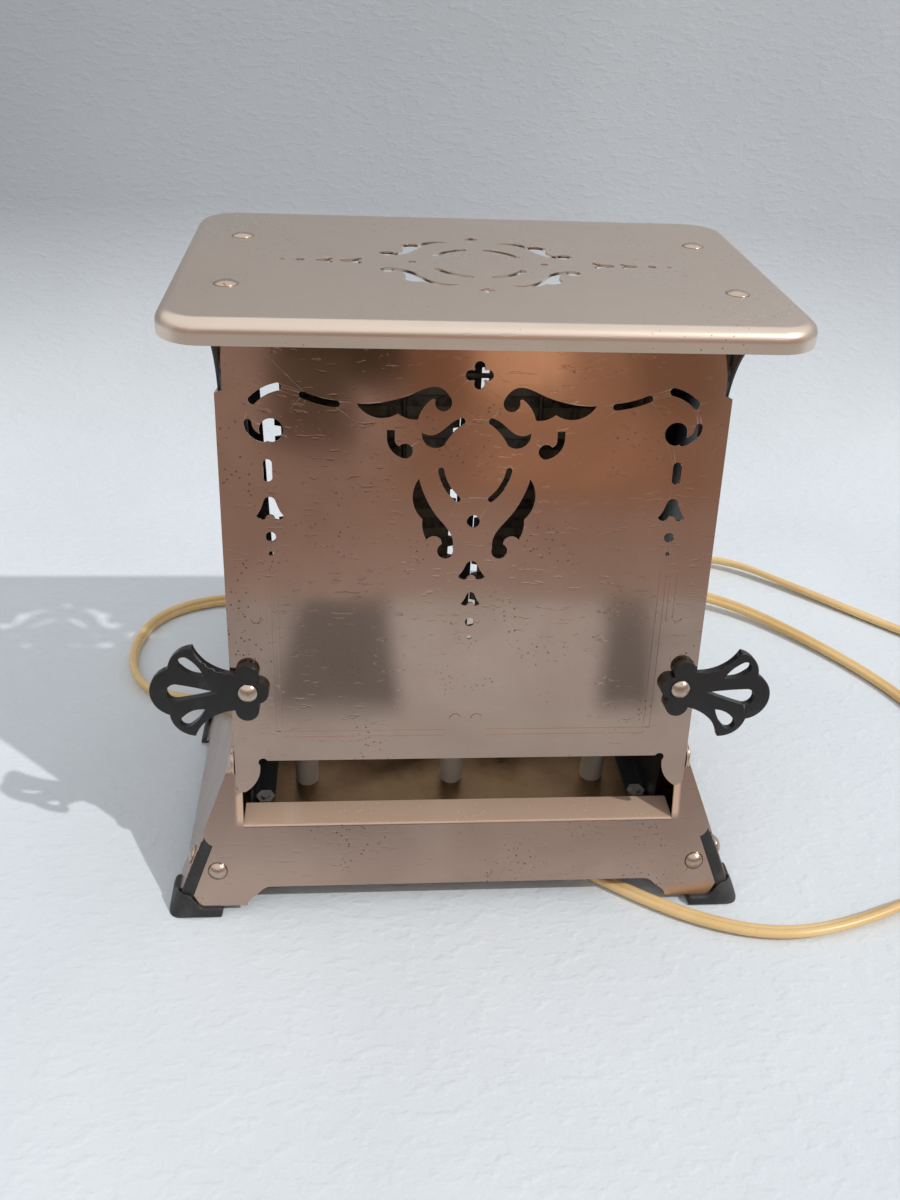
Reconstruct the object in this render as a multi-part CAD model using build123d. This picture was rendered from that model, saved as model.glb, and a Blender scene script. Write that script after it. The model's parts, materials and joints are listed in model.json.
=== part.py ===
from build123d import *
import math
import os

# Drop side toaster. Millimetres. X runs along the toaster, -Y is the front, +Z is up, and the
# origin lies on the table under the middle of the top plate.
# The front door stands closed and the rear door lies lowered on the table.

# ---- overall sizes ----
total_height = 192.0
running_gap = 0.3            # between pieces that move past each other
slide_gap = 0.02             # round a rivet or screw in its hole
pin_gap = 0.05               # round a hinge pin in the door's ear

# ---- pressed top plate ----
plate_length = 155.0
plate_depth = 100.0
plate_sheet = 0.8
plate_rim = 5.6
plate_corner = 11.0
plate_edge = 3.2
plate_rivet_x = 63.1
plate_rivet_y = 22.0
plate_ring_radius = 12.7     # the four slots round the middle of the pierced pattern
plate_ring_slot = 1.7

# ---- rivets ----
head_diameter = 6.2
head_height = 1.5
shank_diameter = 2.8

# ---- doors ----
door_width = 137.6
door_sheet = 0.6
door_lean = 10.2             # the closed door leans in at the top by this angle
door_foot_edge = 2.0         # lower edge of the face above the hinge line, along the face
door_shoulder_drop = 21.6    # the flanges end and the face grows narrower this far below its top
door_top_gap = 9.4           # the closed door's top edge below the top of the plate
door_top_width = 133.4
door_flange = 8.0
door_leg = 8.9               # length of the legs below the hinge line
door_leg_width = 7.2
pattern_height = 134.0       # the piercings are drawn for a face of this height
pattern_width = 137.6        # and of this width, and fit a smaller face by shrinking
border_x = 55.4              # the pressed border's upright run beside each edge of the face
border_v = 10.8              # its lower run above the hinge line
border_top = 61.9
border_start = 6.2           # the lower run stops this far from the middle
border_hook = 3.2            # its upper end turns outwards by this much
border_hook_drop = 14.0      # and comes down again by this much
border_gap = 1.9             # between the border's two lines
border_ridge = 0.5
border_height = 0.2
hinge_inset = 4.2            # hinge line behind the outer surface of the face
hinge_height = 50.7
hinge_spread = 33.2          # hinge lines in front of and behind the middle
pin_diameter = 3.0
floor_gap = 0.4              # under the free edge of a lowered door

# ---- fan handles ----
handle_thickness = 2.5
handle_x = 63.7              # its rivet from the middle of the door
handle_v = 26.1              # its rivet above the hinge line
handle_turn_left = 1.0       # the left handle points up a little, the right one droops
handle_turn_right = -8.0

# ---- base ----
base_sheet = 0.8
apron_top = 29.3
brow_radius = 1.1            # of the bend between an apron and its ledge
apron_half_depth = 39.4      # at the apron's top
apron_slope = 0.322          # how far the aprons run out for each millimetre down
base_end_reach = 10.2        # how far the base reaches beyond a door's end, at the apron's top
end_slope = 0.40
shell_foot = 3.0             # lower edge of the shell above the table
end_wall_drop = 4.5          # the end walls' slope stops this far below the hinge line
collar_rise = 1.8            # and their collars rise this far above it
trough_margin = 1.3          # the trough ends this far inside the doors' ends
ledge_depth = 10.0
ledge_lip = 2.2
arch_half = 61.0
arch_height = 9.0
arch_ramp = 6.0
ear_radius = 4.6
ear_sheet = 0.8

# ---- feet ----
foot_wall = 3.4
foot_lip = 1.4
foot_front_run = 16.0        # how far each foot runs along the apron and along the end wall
foot_side_run = 15.0
foot_block_top = 19.5
foot_notch_front = 4.4
foot_notch_side = 1.6
foot_rivet_inset = 3.1       # of the front rivets from the base's half length
foot_rivet_y = 38.6
foot_rivet_z = 14.6

# ---- tray inside the base ----
tray_height = 12.0
tray_sheet = 0.8

# ---- end frames ----
frame_sheet = 0.8
frame_flange = 7.3
frame_neck = 21.0            # half depth of the web below the hinge lines
frame_flare_y = 45.0
frame_flare_middle = (27.0, 11.4)   # the flare's arc passes here: half depth, and below the plate's top
frame_shoulder_drop = 30.0   # where the flare starts, below the plate's top
frame_waist_rise = 13.3      # where the sides start to follow the doors, above the hinge line

# ---- heating element ----
mica_thickness = 0.8
mica_inner = 4.7
mica_outer = 53.4
rail_low = 50.4
rail_drop = 23.0             # the upper rail's top below the plate's top
rail_depth = 8.0
rail_sheet = 0.8
rail_grip = 5.0
post_width = 5.2
ribbon_width = 3.2
ribbon_thickness = 0.35
ribbon_pitch = 6.5
ribbon_margin = 6.0          # least height left bare under the upper rail
ribbon_first = 61.0
ribbon_overhang = 1.5
insulator_x = 50.0
insulator_diameter = 8.0

# ---- bread guards ----
guard_wire = 1.4
guard_columns = (19.0, 34.0, 48.5)
guard_top_y = 5.0
guard_foot_y = 17.5
guard_rest_y = 28.5
guard_drop = 29.0            # the guards' top wire below the plate's top
guard_foot_z = 57.0
guard_rest_z = 53.0

# ---- wiring, cord and plug ----
bushing_x = 46.0
bushing_height = 20.8
bushing_diameter = 9.6
cord_diameter = 5.0
block_size = (34.0, 11.0, 7.0)
block_x = 14.0
block_y = 31.0
lead_diameter = 2.2
lead_bend = 7.0
supply_diameter = 1.8
cord_inside = -5.0           # the cord's inner end, measured out along the bushing from the apron
coil_centre = (199.0, -78.0)
coil_middle_radius = 27.5
coil_width = 10.6
coil_height = 14.2
plug_length = 24.0
plug_width = 30.0
plug_thickness = 17.0
plug_pin_diameter = 4.8
plug_pin_length = 19.0
plug_pin_spacing = 19.0

# ---- sizes that follow from the ones above ----
plate_top = total_height
plate_under = plate_top - plate_sheet
shank_radius = shank_diameter / 2
hole_radius = shank_radius + slide_gap
pin_radius = pin_diameter / 2
cord_radius = cord_diameter / 2
door_half = door_width / 2
flange_inside = door_half - door_sheet
web_outside = flange_inside - running_gap
web_inside = web_outside - frame_sheet
ear_inside = door_half + running_gap + 0.1
ear_outside = ear_inside + ear_sheet
tray_top = tray_height + tray_sheet
end_wall_top = hinge_height - end_wall_drop
collar_top = hinge_height + collar_rise
base_half_length = door_half + base_end_reach
trough_half = door_half - trough_margin
foot_rivet_x = base_half_length - foot_rivet_inset
rail_high = plate_top - rail_drop
guard_top_z = plate_top - guard_drop
ribbon_turns = 1 + int((rail_high - rail_grip - ribbon_margin - ribbon_first) / ribbon_pitch)
lean = math.radians(door_lean)
door_top = (plate_top - door_top_gap - hinge_height) / math.cos(lean)
door_shoulder = door_top - door_shoulder_drop
pattern_size = min(door_top / pattern_height, door_width / pattern_width)
tip_radius = math.hypot(door_top, hinge_inset)
tip_below_face = math.degrees(math.atan(hinge_inset / door_top))
lowered_dip = math.degrees(math.asin((hinge_height - floor_gap) / tip_radius)) - tip_below_face
opening_angle = 90 + door_lean + lowered_dip


def outline(*edges):
    """The flat face inside these edges, facing +Z."""
    face = Face(Wire(edges))
    return face if face.normal_at().Z > 0 else -face


def arc(start, middle, end):
    return ThreePointArc(start, middle, end)


def both_sides(shape):
    return [shape, mirror(shape, about=Plane.YZ)]


def both_ways(shape):
    return [shape, mirror(shape, about=Plane.XZ)]


def four_corners(shape):
    return [one for half in both_sides(shape) for one in both_ways(half)]


def box_between(low, high):
    size = [b - a for a, b in zip(low, high)]
    centre = [(a + b) / 2 for a, b in zip(low, high)]
    return Pos(*centre) * Box(*size)


def cylinder_between(start, end, radius):
    axis = Vector(*end) - Vector(*start)
    return Plane(origin=start, z_dir=axis) * extrude(Circle(radius), axis.length)


def tube(points, radii, radius):
    path = FilletPolyline(*points, radius=radii)
    start = Plane(origin=path @ 0, z_dir=path % 0)
    return sweep(start * Circle(radius), path=path)


def bend_radii(points):
    radii = []
    for before, here, after in zip(points, points[1:], points[2:]):
        into = Vector(*here) - Vector(*before)
        out = Vector(*after) - Vector(*here)
        half_turn = math.radians(into.get_angle(out)) / 2
        radii.append(0.45 * min(into.length, out.length) / math.tan(half_turn))
    return radii


def dome_rivet(seat, direction, grip):
    """A dome head on seat, facing direction, with its shank going back through the grip."""
    radius = head_diameter / 2
    sphere = (head_height ** 2 + radius ** 2) / (2 * head_height)
    profile = outline(
        Line((0, -grip), (shank_radius, -grip)),
        Line((shank_radius, -grip), (shank_radius, 0)),
        Line((shank_radius, 0), (radius, 0)),
        arc((radius, 0), (sphere * math.sin(0.5 * math.asin(radius / sphere)),
                          head_height - sphere * (1 - math.cos(0.5 * math.asin(radius / sphere)))),
            (0, head_height)),
        Line((0, head_height), (0, -grip)),
    )
    rivet = revolve(Plane.XZ * profile, Axis.Z)
    return Plane(origin=seat, z_dir=direction) * rivet


# ---------------------------------------------------------------- pierced scrollwork
def bell(width, height):
    """A bell flower standing on its two tips, with a round bump in its mouth."""
    half = width / 2
    lobe = 0.17 * width
    right = Spline((0, height), (0.25 * width, 0.62 * height), (half, 0),
                   tangents=[(1, 0), (0.7, -0.7)])
    left = Spline((-half, 0), (-0.25 * width, 0.62 * height), (0, height),
                  tangents=[(0.7, 0.7), (1, 0)])
    return outline(
        right,
        arc((half, 0), (0.30 * width, -0.75 * lobe), (lobe, -0.6 * lobe)),
        arc((lobe, -0.6 * lobe), (0, 0.35 * lobe), (-lobe, -0.6 * lobe)),
        arc((-lobe, -0.6 * lobe), (-0.30 * width, -0.75 * lobe), (-half, 0)),
        left,
    )


def quatrefoil(reach):
    petal = 0.38 * reach
    middle = Rot(0, 0, 45) * Rectangle(1.05 * reach, 1.05 * reach)
    petals = [Rot(0, 0, turn) * Pos(reach - petal, 0) * Circle(petal) for turn in (0, 90, 180, 270)]
    return Sketch() + [middle] + petals


def wing_leaf():
    """A leaf that springs from a round curl and sweeps out to a point, twice lobed below."""
    curl = Pos(9.1, 110.5) * Circle(2.25)
    blade = outline(
        Spline((7.0, 111.4), (11.4, 114.8), (17.8, 112.6), (24.1, 110.7), (32.0, 110.1)),
        arc((32.0, 110.1), (27.2, 106.5), (21.1, 107.6)),
        arc((21.1, 107.6), (18.8, 106.3), (15.8, 106.0)),
        arc((15.8, 106.0), (14.4, 109.2), (11.9, 111.7)),
        Line((11.9, 111.7), (9.1, 110.5)),
        Line((9.1, 110.5), (7.0, 111.4)),
    )
    return Sketch() + curl + blade


def comma_leaf():
    stem = Pos(4.1, 105.6) * Circle(0.95)
    blade = outline(
        Spline((4.7, 106.3), (7.6, 104.5), (10.6, 102.2), (14.7, 102.5)),
        arc((14.7, 102.5), (12.6, 98.7), (8.6, 99.1)),
        Spline((8.6, 99.1), (6.3, 102.5), (3.5, 104.9)),
        Line((3.5, 104.9), (4.7, 106.3)),
    )
    return Sketch() + stem + blade


def hook():
    curl = Pos(19.1, 97.4) * Circle(2.05)
    stem = outline(
        Line((21.9, 103.1), (24.0, 103.1)),
        Line((24.0, 103.1), (24.0, 101.2)),
        arc((24.0, 101.2), (22.7, 97.4), (19.4, 95.4)),
        Line((19.4, 95.4), (20.0, 98.6)),
        arc((20.0, 98.6), (21.4, 99.2), (21.9, 100.8)),
        Line((21.9, 100.8), (21.9, 103.1)),
    )
    return Sketch() + curl + stem


def ball_and_tail():
    tail = SlotArc(arc((60.5, 104.7), (59.5, 102.0), (56.4, 100.4)), 2.0)
    return Sketch() + Pos(54.5, 102.7) * Circle(3.2) + tail


def lower_leaf():
    curl = Pos(7.6, 68.9) * Circle(2.25)
    blade = outline(
        arc((15.2, 89.8), (16.9, 84.6), (14.1, 78.2)),
        arc((14.1, 78.2), (14.0, 75.2), (12.9, 72.2)),
        arc((12.9, 72.2), (10.3, 73.2), (8.6, 71.0)),
        Line((8.6, 71.0), (7.6, 68.9)),
        Line((7.6, 68.9), (5.5, 69.8)),
        Spline((5.5, 69.8), (5.9, 73.2), (10.4, 79.4), (13.6, 85.0), (15.2, 89.8)),
    )
    return Sketch() + curl + blade


def door_piercings():
    """All openings of a door face, drawn with x from its middle and y above the hinge line."""
    paired = [
        wing_leaf(),
        comma_leaf(),
        hook(),
        ball_and_tail(),
        lower_leaf(),
        SlotArc(arc((37.3, 109.9), (41.8, 110.7), (46.1, 112.2)), 1.85),
        SlotArc(arc((52.6, 114.2), (56.3, 112.8), (59.2, 110.6)), 2.15),
        SlotArc(arc((9.3, 92.1), (7.7, 87.7), (4.6, 84.0)), 1.65),
        Pos(55.8, 91.7) * Rot(0, 0, 90) * SlotOverall(6.3, 2.4),
        Pos(55.6, 78.9) * bell(7.6, 5.5),
        Pos(55.6, 73.0) * Circle(1.4),
        Pos(55.7, 68.1) * Circle(0.65),
    ]
    middle = [
        Pos(0.2, 117.9) * quatrefoil(3.7),
        Pos(0, 77.6) * Circle(1.8),
        Pos(0, 61.3) * bell(7.6, 4.6),
        Pos(0, 53.0) * bell(5.4, 3.5),
        Pos(0, 47.2) * Circle(1.3),
        Pos(0, 42.4) * Circle(0.65),
    ]
    return middle + [one for shape in paired for one in both_sides(shape)]


def plate_piercings():
    """The plate's pattern: a ring of four slots between four leaves, and flowers along the axis."""
    ring = plate_ring_radius
    points = [(ring * math.cos(math.radians(a)), ring * math.sin(math.radians(a))) for a in (30, 53, 76)]
    slot = SlotArc(arc(*points), plate_ring_slot)
    curl = Pos(23.9, 7.5) * Circle(2.1)
    blade = outline(
        Spline((22.3, 5.7), (16.7, 10.4), (14.4, 14.8), (11.4, 18.0), (6.1, 18.9)),
        arc((6.1, 18.9), (10.4, 20.2), (15.3, 17.1)),
        arc((15.3, 17.1), (17.8, 17.4), (20.1, 14.9)),
        arc((20.1, 14.9), (19.6, 11.6), (21.3, 8.4)),
        Line((21.3, 8.4), (23.9, 7.5)),
        Line((23.9, 7.5), (22.3, 5.7)),
    )
    leaf = Sketch() + curl + blade
    on_axis = [
        Pos(17.4, 0) * Circle(1.0),
        Pos(31.2, 0) * Rot(0, 0, -90) * bell(5.6, 5.0),
        Pos(38.6, 0) * Rot(0, 0, -90) * bell(4.6, 3.8),
        Pos(46.4, 0) * Circle(1.1),
        Pos(51.0, 0) * Circle(0.6),
    ]
    on_short_axis = [Pos(0, 23.4) * quatrefoil(1.9)]
    shapes = [one for shape in (slot, leaf) for one in four_corners(shape)]
    shapes += [one for shape in on_axis for one in both_sides(shape)]
    shapes += [one for shape in on_short_axis for one in both_ways(shape)]
    return shapes


# ---------------------------------------------------------------- top plate
def plate_blank(shrink, low, high, edge):
    blank = Pos(0, 0, low) * extrude(
        RectangleRounded(plate_length - 2 * shrink, plate_depth - 2 * shrink, plate_corner - shrink),
        high - low,
    )
    return fillet(blank.edges().group_by(Axis.Z)[-1], edge)


def top_plate():
    low = plate_top - plate_rim
    shell = plate_blank(0, low, plate_top, plate_edge)
    shell -= plate_blank(plate_sheet, low - 1, plate_under, plate_edge - plate_sheet)
    cuts = [Pos(0, 0, plate_under - 1) * extrude(shape, plate_sheet + 2) for shape in plate_piercings()]
    holes = four_corners(Pos(plate_rivet_x, plate_rivet_y, plate_top) * Cylinder(hole_radius, 6))
    return shell - cuts - holes


def top_plate_rivets():
    grip = plate_sheet + frame_sheet
    return four_corners(dome_rivet((plate_rivet_x, plate_rivet_y, plate_top), (0, 0, 1), grip))


# ---------------------------------------------------------------- doors
def door_face():
    """The face's outline, with the two legs that reach below the hinge line."""
    half = door_half
    leg_in = half - door_leg_width
    top_half = door_top_width / 2
    right = [
        Line((0, door_foot_edge), (leg_in, door_foot_edge)),
        arc((leg_in, door_foot_edge), (leg_in + 1.2, -0.62 * door_leg), (half - 2.6, -door_leg)),
        arc((half - 2.6, -door_leg), (half - 0.7, -0.9 * door_leg), (half, -0.7 * door_leg)),
        Line((half, -0.7 * door_leg), (half, door_shoulder)),
        Line((half, door_shoulder), (top_half, door_shoulder + 0.8)),
        Line((top_half, door_shoulder + 0.8), (top_half, door_top)),
        Line((top_half, door_top), (0, door_top)),
    ]
    left = [edge.mirror(Plane.YZ) for edge in reversed(right)]
    relief = Pos(leg_in - 1.2, door_foot_edge - 0.6) * Circle(1.4)
    return Sketch() + outline(*right, *left) - both_sides(relief)


def border_line(spread):
    """One of the two pressed lines of the border, spread outwards from their shared middle."""
    side = border_x - spread
    foot = border_v - spread
    hook = border_x + border_hook + spread
    top = border_top + spread
    path = Polyline((border_start, foot), (side, foot), (side, top), (hook, top),
                    (hook, top - border_hook_drop))
    curl = arc((hook, top - border_hook_drop), (hook + 1.3, top - border_hook_drop - 2.0),
               (hook + 2.6, top - border_hook_drop - 0.8))
    lines = [path.edges()]
    if spread > 0:
        lines.append([curl])
    return trace([edge for group in lines for edge in group], line_width=border_ridge)


def border_scroll():
    """The small pressed curl beside the gap in the border's lower run."""
    low = border_v + 4.6
    curl = arc((1.7, low), (3.3, low + 1.7), (4.6, low - 0.2))
    return trace(curl, line_width=border_ridge)


def door():
    """A door standing upright, its hinge line on the X axis and its inner side towards +Y."""
    outer = -hinge_inset
    face = Pos(0, outer + door_sheet, 0) * extrude(Plane.XZ * door_face(), door_sheet)
    flange = box_between(
        (flange_inside, outer, -0.7 * door_leg), (door_half, outer + door_flange, door_shoulder)
    )
    toe = Pos(0, outer + door_flange, -0.7 * door_leg) * Rot(-45, 0, 0) * Box(2 * door_width, 8, 3)
    body = face + both_sides(flange - toe)
    for line in (border_line(border_gap / 2), border_line(-border_gap / 2), border_scroll()):
        ridge = Pos(0, outer + door_sheet / 2, 0) * extrude(Plane.XZ * line, door_sheet / 2 + border_height)
        body += both_sides(ridge)
    hinge_hole = Rot(0, 90, 0) * Cylinder(pin_radius + pin_gap, 2 * door_width)
    rivet_holes = both_sides(Pos(handle_x, 0, handle_v) * Rot(90, 0, 0) * Cylinder(hole_radius, 20))
    cuts = [extrude(Plane.XZ * scale(shape, by=pattern_size), 2 * hinge_inset, both=True)
            for shape in door_piercings()]
    return body - hinge_hole - rivet_holes - cuts


def fan_handle():
    """A flat fan of three pierced lobes on a trefoil root, its rivet at the origin, pointing to +x."""
    root = [Pos(0.2, 5.6) * Circle(3.4), Pos(0.2, -5.6) * Circle(3.4), Pos(-2.6, 0) * Circle(3.4)]
    fan = outline(
        arc((15.3, 14.3), (20.6, 11.7), (22.5, 7.4)),
        arc((22.5, 7.4), (27.9, 0), (22.5, -7.4)),
        arc((22.5, -7.4), (20.6, -11.7), (15.3, -14.3)),
        Spline((15.3, -14.3), (11.6, -9.0), (6.6, -6.4), (-1.0, -6.2)),
        Line((-1.0, -6.2), (-1.0, 6.2)),
        Spline((-1.0, 6.2), (6.6, 6.4), (11.6, 9.0), (15.3, 14.3)),
    )
    drop = outline(
        Spline((8.0, 0), (14.0, 1.5), (20.2, 2.7)),
        arc((20.2, 2.7), (23.1, 0), (20.2, -2.7)),
        Spline((20.2, -2.7), (14.0, -1.5), (8.0, 0)),
    )
    side_drop = outline(
        Spline((12.2, 5.3), (14.2, 8.7), (16.6, 10.9)),
        arc((16.6, 10.9), (19.2, 10.6), (18.7, 7.9)),
        Spline((18.7, 7.9), (16.0, 5.9), (12.2, 5.3)),
    )
    plate = Sketch() + root + fan - drop - both_ways(side_drop) - Circle(hole_radius)
    body = extrude(Plane.XZ * plate, handle_thickness)
    rim = body.faces().sort_by(Axis.Y)[0].outer_wire().edges()
    fan_rim = rim.filter_by(lambda edge: edge.center().X > 5)
    return chamfer(fan_rim, 0.4)


def placed_handle(side):
    """A handle riveted on the face of an upright door: side is 1 on its right and -1 on its left."""
    turn = handle_turn_right if side > 0 else handle_turn_left
    handle = Rot(0, -turn, 0) * fan_handle()
    handle = handle if side > 0 else mirror(handle, about=Plane.YZ)
    return Pos(side * handle_x, -hinge_inset, handle_v) * handle


def handle_rivet(side):
    seat = (side * handle_x, -hinge_inset - handle_thickness, handle_v)
    return dome_rivet(seat, (0, -1, 0), handle_thickness + door_sheet)


def closed_front(piece):
    return Pos(0, -hinge_spread, hinge_height) * Rot(-door_lean, 0, 0) * piece


def lowered_rear(piece):
    opened = Rot(opening_angle - door_lean, 0, 0) * piece
    return Pos(0, hinge_spread, hinge_height) * Rot(0, 0, 180) * opened


def hinge_pin(side, y):
    """A shouldered rivet: fixed in the base's ear, with the door's ear turning between its heads."""
    inner_head = 1.2
    start = side * (flange_inside - running_gap - inner_head)
    neck = side * (flange_inside - running_gap)
    seat = side * ear_outside
    pin = cylinder_between((neck, y, hinge_height), (seat, y, hinge_height), pin_radius)
    head = cylinder_between((start, y, hinge_height), (neck, y, hinge_height), 1.7 * pin_radius)
    return pin + head + dome_rivet((seat, y, hinge_height), (side, 0, 0), ear_sheet)


# ---------------------------------------------------------------- base
def half_length(height):
    return base_half_length + end_slope * (apron_top - height)


def half_depth(height):
    return apron_half_depth + apron_slope * (apron_top - height)


def frustum(grow_x, grow_y, low, high):
    """The base's outer form between two heights, grown or shrunk along X and Y."""
    lower = Pos(0, 0, low) * Rectangle(2 * (half_length(low) + grow_x), 2 * (half_depth(low) + grow_y))
    upper = Pos(0, 0, high) * Rectangle(2 * (half_length(high) + grow_x), 2 * (half_depth(high) + grow_y))
    return loft([lower, upper])


def apron_notch():
    """What each apron leaves open at a corner for the foot, seen from the front."""
    top = apron_top - 0.9
    turn = apron_top - 6.5
    inset = foot_notch_front
    return outline(
        arc((half_length(top), top), (half_length(turn) - 0.55 * inset + 0.6, turn + 4.0),
            (half_length(turn) - inset, turn)),
        Line((half_length(turn) - inset, turn), (half_length(6) - inset, 6)),
        arc((half_length(6) - inset, 6), (half_length(6) - inset + 0.5, 3.8),
            (half_length(6) - inset + 3, shell_foot)),
        Line((half_length(6) - inset + 3, shell_foot), (half_length(0) + 9, shell_foot - 1)),
        Line((half_length(0) + 9, shell_foot - 1), (half_length(0) + 9, top)),
        Line((half_length(0) + 9, top), (half_length(top), top)),
    )


def arch():
    """The low arch between the feet, seen from the front."""
    half = arch_half
    return outline(
        Line((-half - arch_ramp, 0), (half + arch_ramp, 0)),
        Line((half + arch_ramp, 0), (half + arch_ramp, shell_foot)),
        Spline((half + arch_ramp, shell_foot), (half + 0.55 * arch_ramp, 0.7 * arch_height),
               (half - 1.5, arch_height), tangents=[(0, 1), (-1, 0)]),
        Line((half - 1.5, arch_height), (1.5 - half, arch_height)),
        Spline((1.5 - half, arch_height), (-half - 0.55 * arch_ramp, 0.7 * arch_height),
               (-half - arch_ramp, shell_foot), tangents=[(-1, 0), (0, -1)]),
        Line((-half - arch_ramp, shell_foot), (-half - arch_ramp, 0)),
    )


def side_arch():
    half = half_depth(0) - foot_side_run - 2
    return Rectangle(2 * half, 2 * arch_height)


def long_walls():
    """Both aprons with their shoulders beside the troughs."""
    walls = frustum(0, 0, shell_foot, end_wall_top) - frustum(0, -base_sheet, shell_foot, end_wall_top)
    leg_room = hinge_height - door_leg - 1
    walls -= box_between((-trough_half, -90, apron_top), (trough_half, 90, 90))
    walls -= box_between((-ear_inside, -90, leg_room), (ear_inside, 90, 90))
    for shape in both_sides(apron_notch()):
        walls -= extrude(Plane.XZ * shape, 90, both=True)
    return walls - extrude(Plane.XZ * arch(), 90, both=True)


def end_walls():
    walls = frustum(0, 0, shell_foot, end_wall_top) - frustum(-base_sheet, 0, shell_foot, end_wall_top)
    low, high = shell_foot, apron_top - 0.9
    notch = outline(
        Line((half_depth(high), high), (half_depth(low) - foot_notch_side, low)),
        Line((half_depth(low) - foot_notch_side, low), (half_depth(low) + 5, low)),
        Line((half_depth(low) + 5, low), (half_depth(high) + 5, high)),
        Line((half_depth(high) + 5, high), (half_depth(high), high)),
    )
    for shape in both_sides(notch):
        walls -= extrude(Plane.YZ * shape, 2 * base_half_length, both=True)
    walls -= extrude(Plane.YZ * side_arch(), 2 * base_half_length, both=True)
    return walls


def end_collar():
    """The vertical top of an end wall: a step inward and a collar with the two hinge ears."""
    reach = half_depth(end_wall_top)
    step = box_between(
        (ear_inside, -reach, end_wall_top - base_sheet), (half_length(end_wall_top), reach, end_wall_top)
    )
    collar = box_between((ear_inside, -hinge_spread, end_wall_top - base_sheet),
                         (ear_outside, hinge_spread, collar_top))
    ears = both_ways(cylinder_between((ear_inside, hinge_spread, hinge_height),
                                      (ear_outside, hinge_spread, hinge_height), ear_radius))
    shape = step + collar + ears
    hole = cylinder_between((0, hinge_spread, hinge_height), (90, hinge_spread, hinge_height),
                            pin_radius + slide_gap)
    return shape - both_ways(hole)


def ledges():
    """The shelf that each apron's top turns in to form, with its short lip."""
    inner = half_depth(apron_top) - ledge_depth
    shelf = box_between((-trough_half, inner, apron_top - base_sheet),
                        (trough_half, half_depth(apron_top) - base_sheet / 2, apron_top))
    lip = box_between((-trough_half, inner, apron_top - ledge_lip),
                      (trough_half, inner + base_sheet, apron_top))
    return both_ways(shelf + lip)


def brow_cut():
    """What comes off an apron's top edge to leave it a round bend."""
    edge = (half_depth(apron_top), apron_top)
    reach = 2.5 * brow_radius
    inner = (edge[0] - reach, edge[1])
    lower = (edge[0] + apron_slope * reach, edge[1] - reach)
    beyond = (edge[0] + reach, edge[1] + reach)
    corner = Sketch() + outline(Line(inner, edge), Line(edge, lower), Line(lower, inner))
    bend = fillet(corner.vertices().sort_by_distance((*edge, 0))[0], brow_radius)
    cover = outline(Line(inner, beyond), Line(beyond, lower), Line(lower, inner))
    return extrude(Plane.YZ * (cover - bend), trough_half, both=True)


def foot_rivet_places():
    front = (foot_rivet_x, -half_depth(foot_rivet_z), foot_rivet_z)
    side = (half_length(foot_rivet_z), -foot_rivet_y, foot_rivet_z + 2)
    side = (half_length(side[2]), side[1], side[2])
    return [(front, (0, -1, apron_slope)), (side, (1, 0, end_slope))]


def foot_rivets():
    grip = base_sheet + foot_wall - 0.6
    rivets = [dome_rivet(seat, way, grip) for seat, way in foot_rivet_places()]
    return [one for rivet in rivets for one in four_corners(rivet)]


def foot_rivet_holes():
    holes = []
    for seat, way in foot_rivet_places():
        hole = Plane(origin=seat, z_dir=way) * Cylinder(hole_radius, 16)
        holes += four_corners(hole)
    return holes


def bushing_place():
    return (bushing_x, half_depth(bushing_height), bushing_height)


def base_shell():
    shell = long_walls() + end_walls() + ledges() + both_sides(end_collar())
    x, y, z = bushing_place()
    way = (0, 1, apron_slope)
    opening = Plane(origin=(x, y, z), z_dir=way) * Cylinder(bushing_diameter / 2 + slide_gap, 8)
    return shell - foot_rivet_holes() - opening - both_ways(brow_cut())


def corner_foot(walls):
    """One foot: it lines the corner behind the walls, fills their notch and stands on its lip."""
    corner = frustum(0, 0, 0, apron_top - 0.9) - frustum(-foot_wall, -foot_wall, 0, apron_top - 0.9)
    near_x = half_length(0) - foot_front_run
    near_y = half_depth(0) - foot_side_run
    low_block = box_between((near_x, -90, 0), (120, -near_y, foot_block_top))
    high_block = box_between((half_length(apron_top) - 3, -90, 0),
                             (120, -half_depth(apron_top) + 3, apron_top))
    block = corner & (low_block + high_block)
    lip = frustum(foot_lip, foot_lip, 0, shell_foot) & box_between(
        (near_x, -90, 0), (120, -near_y, shell_foot)
    )
    hollow = frustum(-foot_wall - 3, -foot_wall - 3, 0, shell_foot)
    return block + (lip - hollow) - walls - foot_rivet_holes()


def base_tray():
    """The floor of the base, flush with the inside of its walls and cut back round the feet."""
    slab = frustum(-base_sheet, -base_sheet, tray_height, tray_top)
    clear_x = half_length(0) - foot_front_run - running_gap
    clear_y = half_depth(0) - foot_side_run - running_gap
    corner = box_between((clear_x, clear_y, 0), (120, 90, 40))
    slab -= four_corners(corner)
    holes = [Pos(x, y, tray_height) * Cylinder(hole_radius, 6) for x, y in tray_screw_places()]
    return slab - holes


def tray_screw_places():
    frame = [(sx * (web_outside - 4.4), sy * 12.0) for sx in (-1, 1) for sy in (-1, 1)]
    return frame + [(x, 0) for x in (-insulator_x, 0, insulator_x)]


def pan_screw(x, y, top):
    """A pan head screw that comes up through the tray from below."""
    head = Pos(x, y, tray_height - 1.0) * Cylinder(head_diameter / 2, 2.0)
    shank = cylinder_between((x, y, tray_height - 0.5), (x, y, top), shank_radius)
    return chamfer(head.edges().group_by(Axis.Z)[0], 0.8) + shank


def frame_screws():
    screws = []
    for x, y in tray_screw_places()[:4]:
        nut_low = tray_top + frame_sheet
        nut = Pos(x, y, nut_low) * extrude(RegularPolygon(3.2, 6), 2.2)
        screws.append(pan_screw(x, y, nut_low + 2.8) + nut)
    return screws


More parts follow.
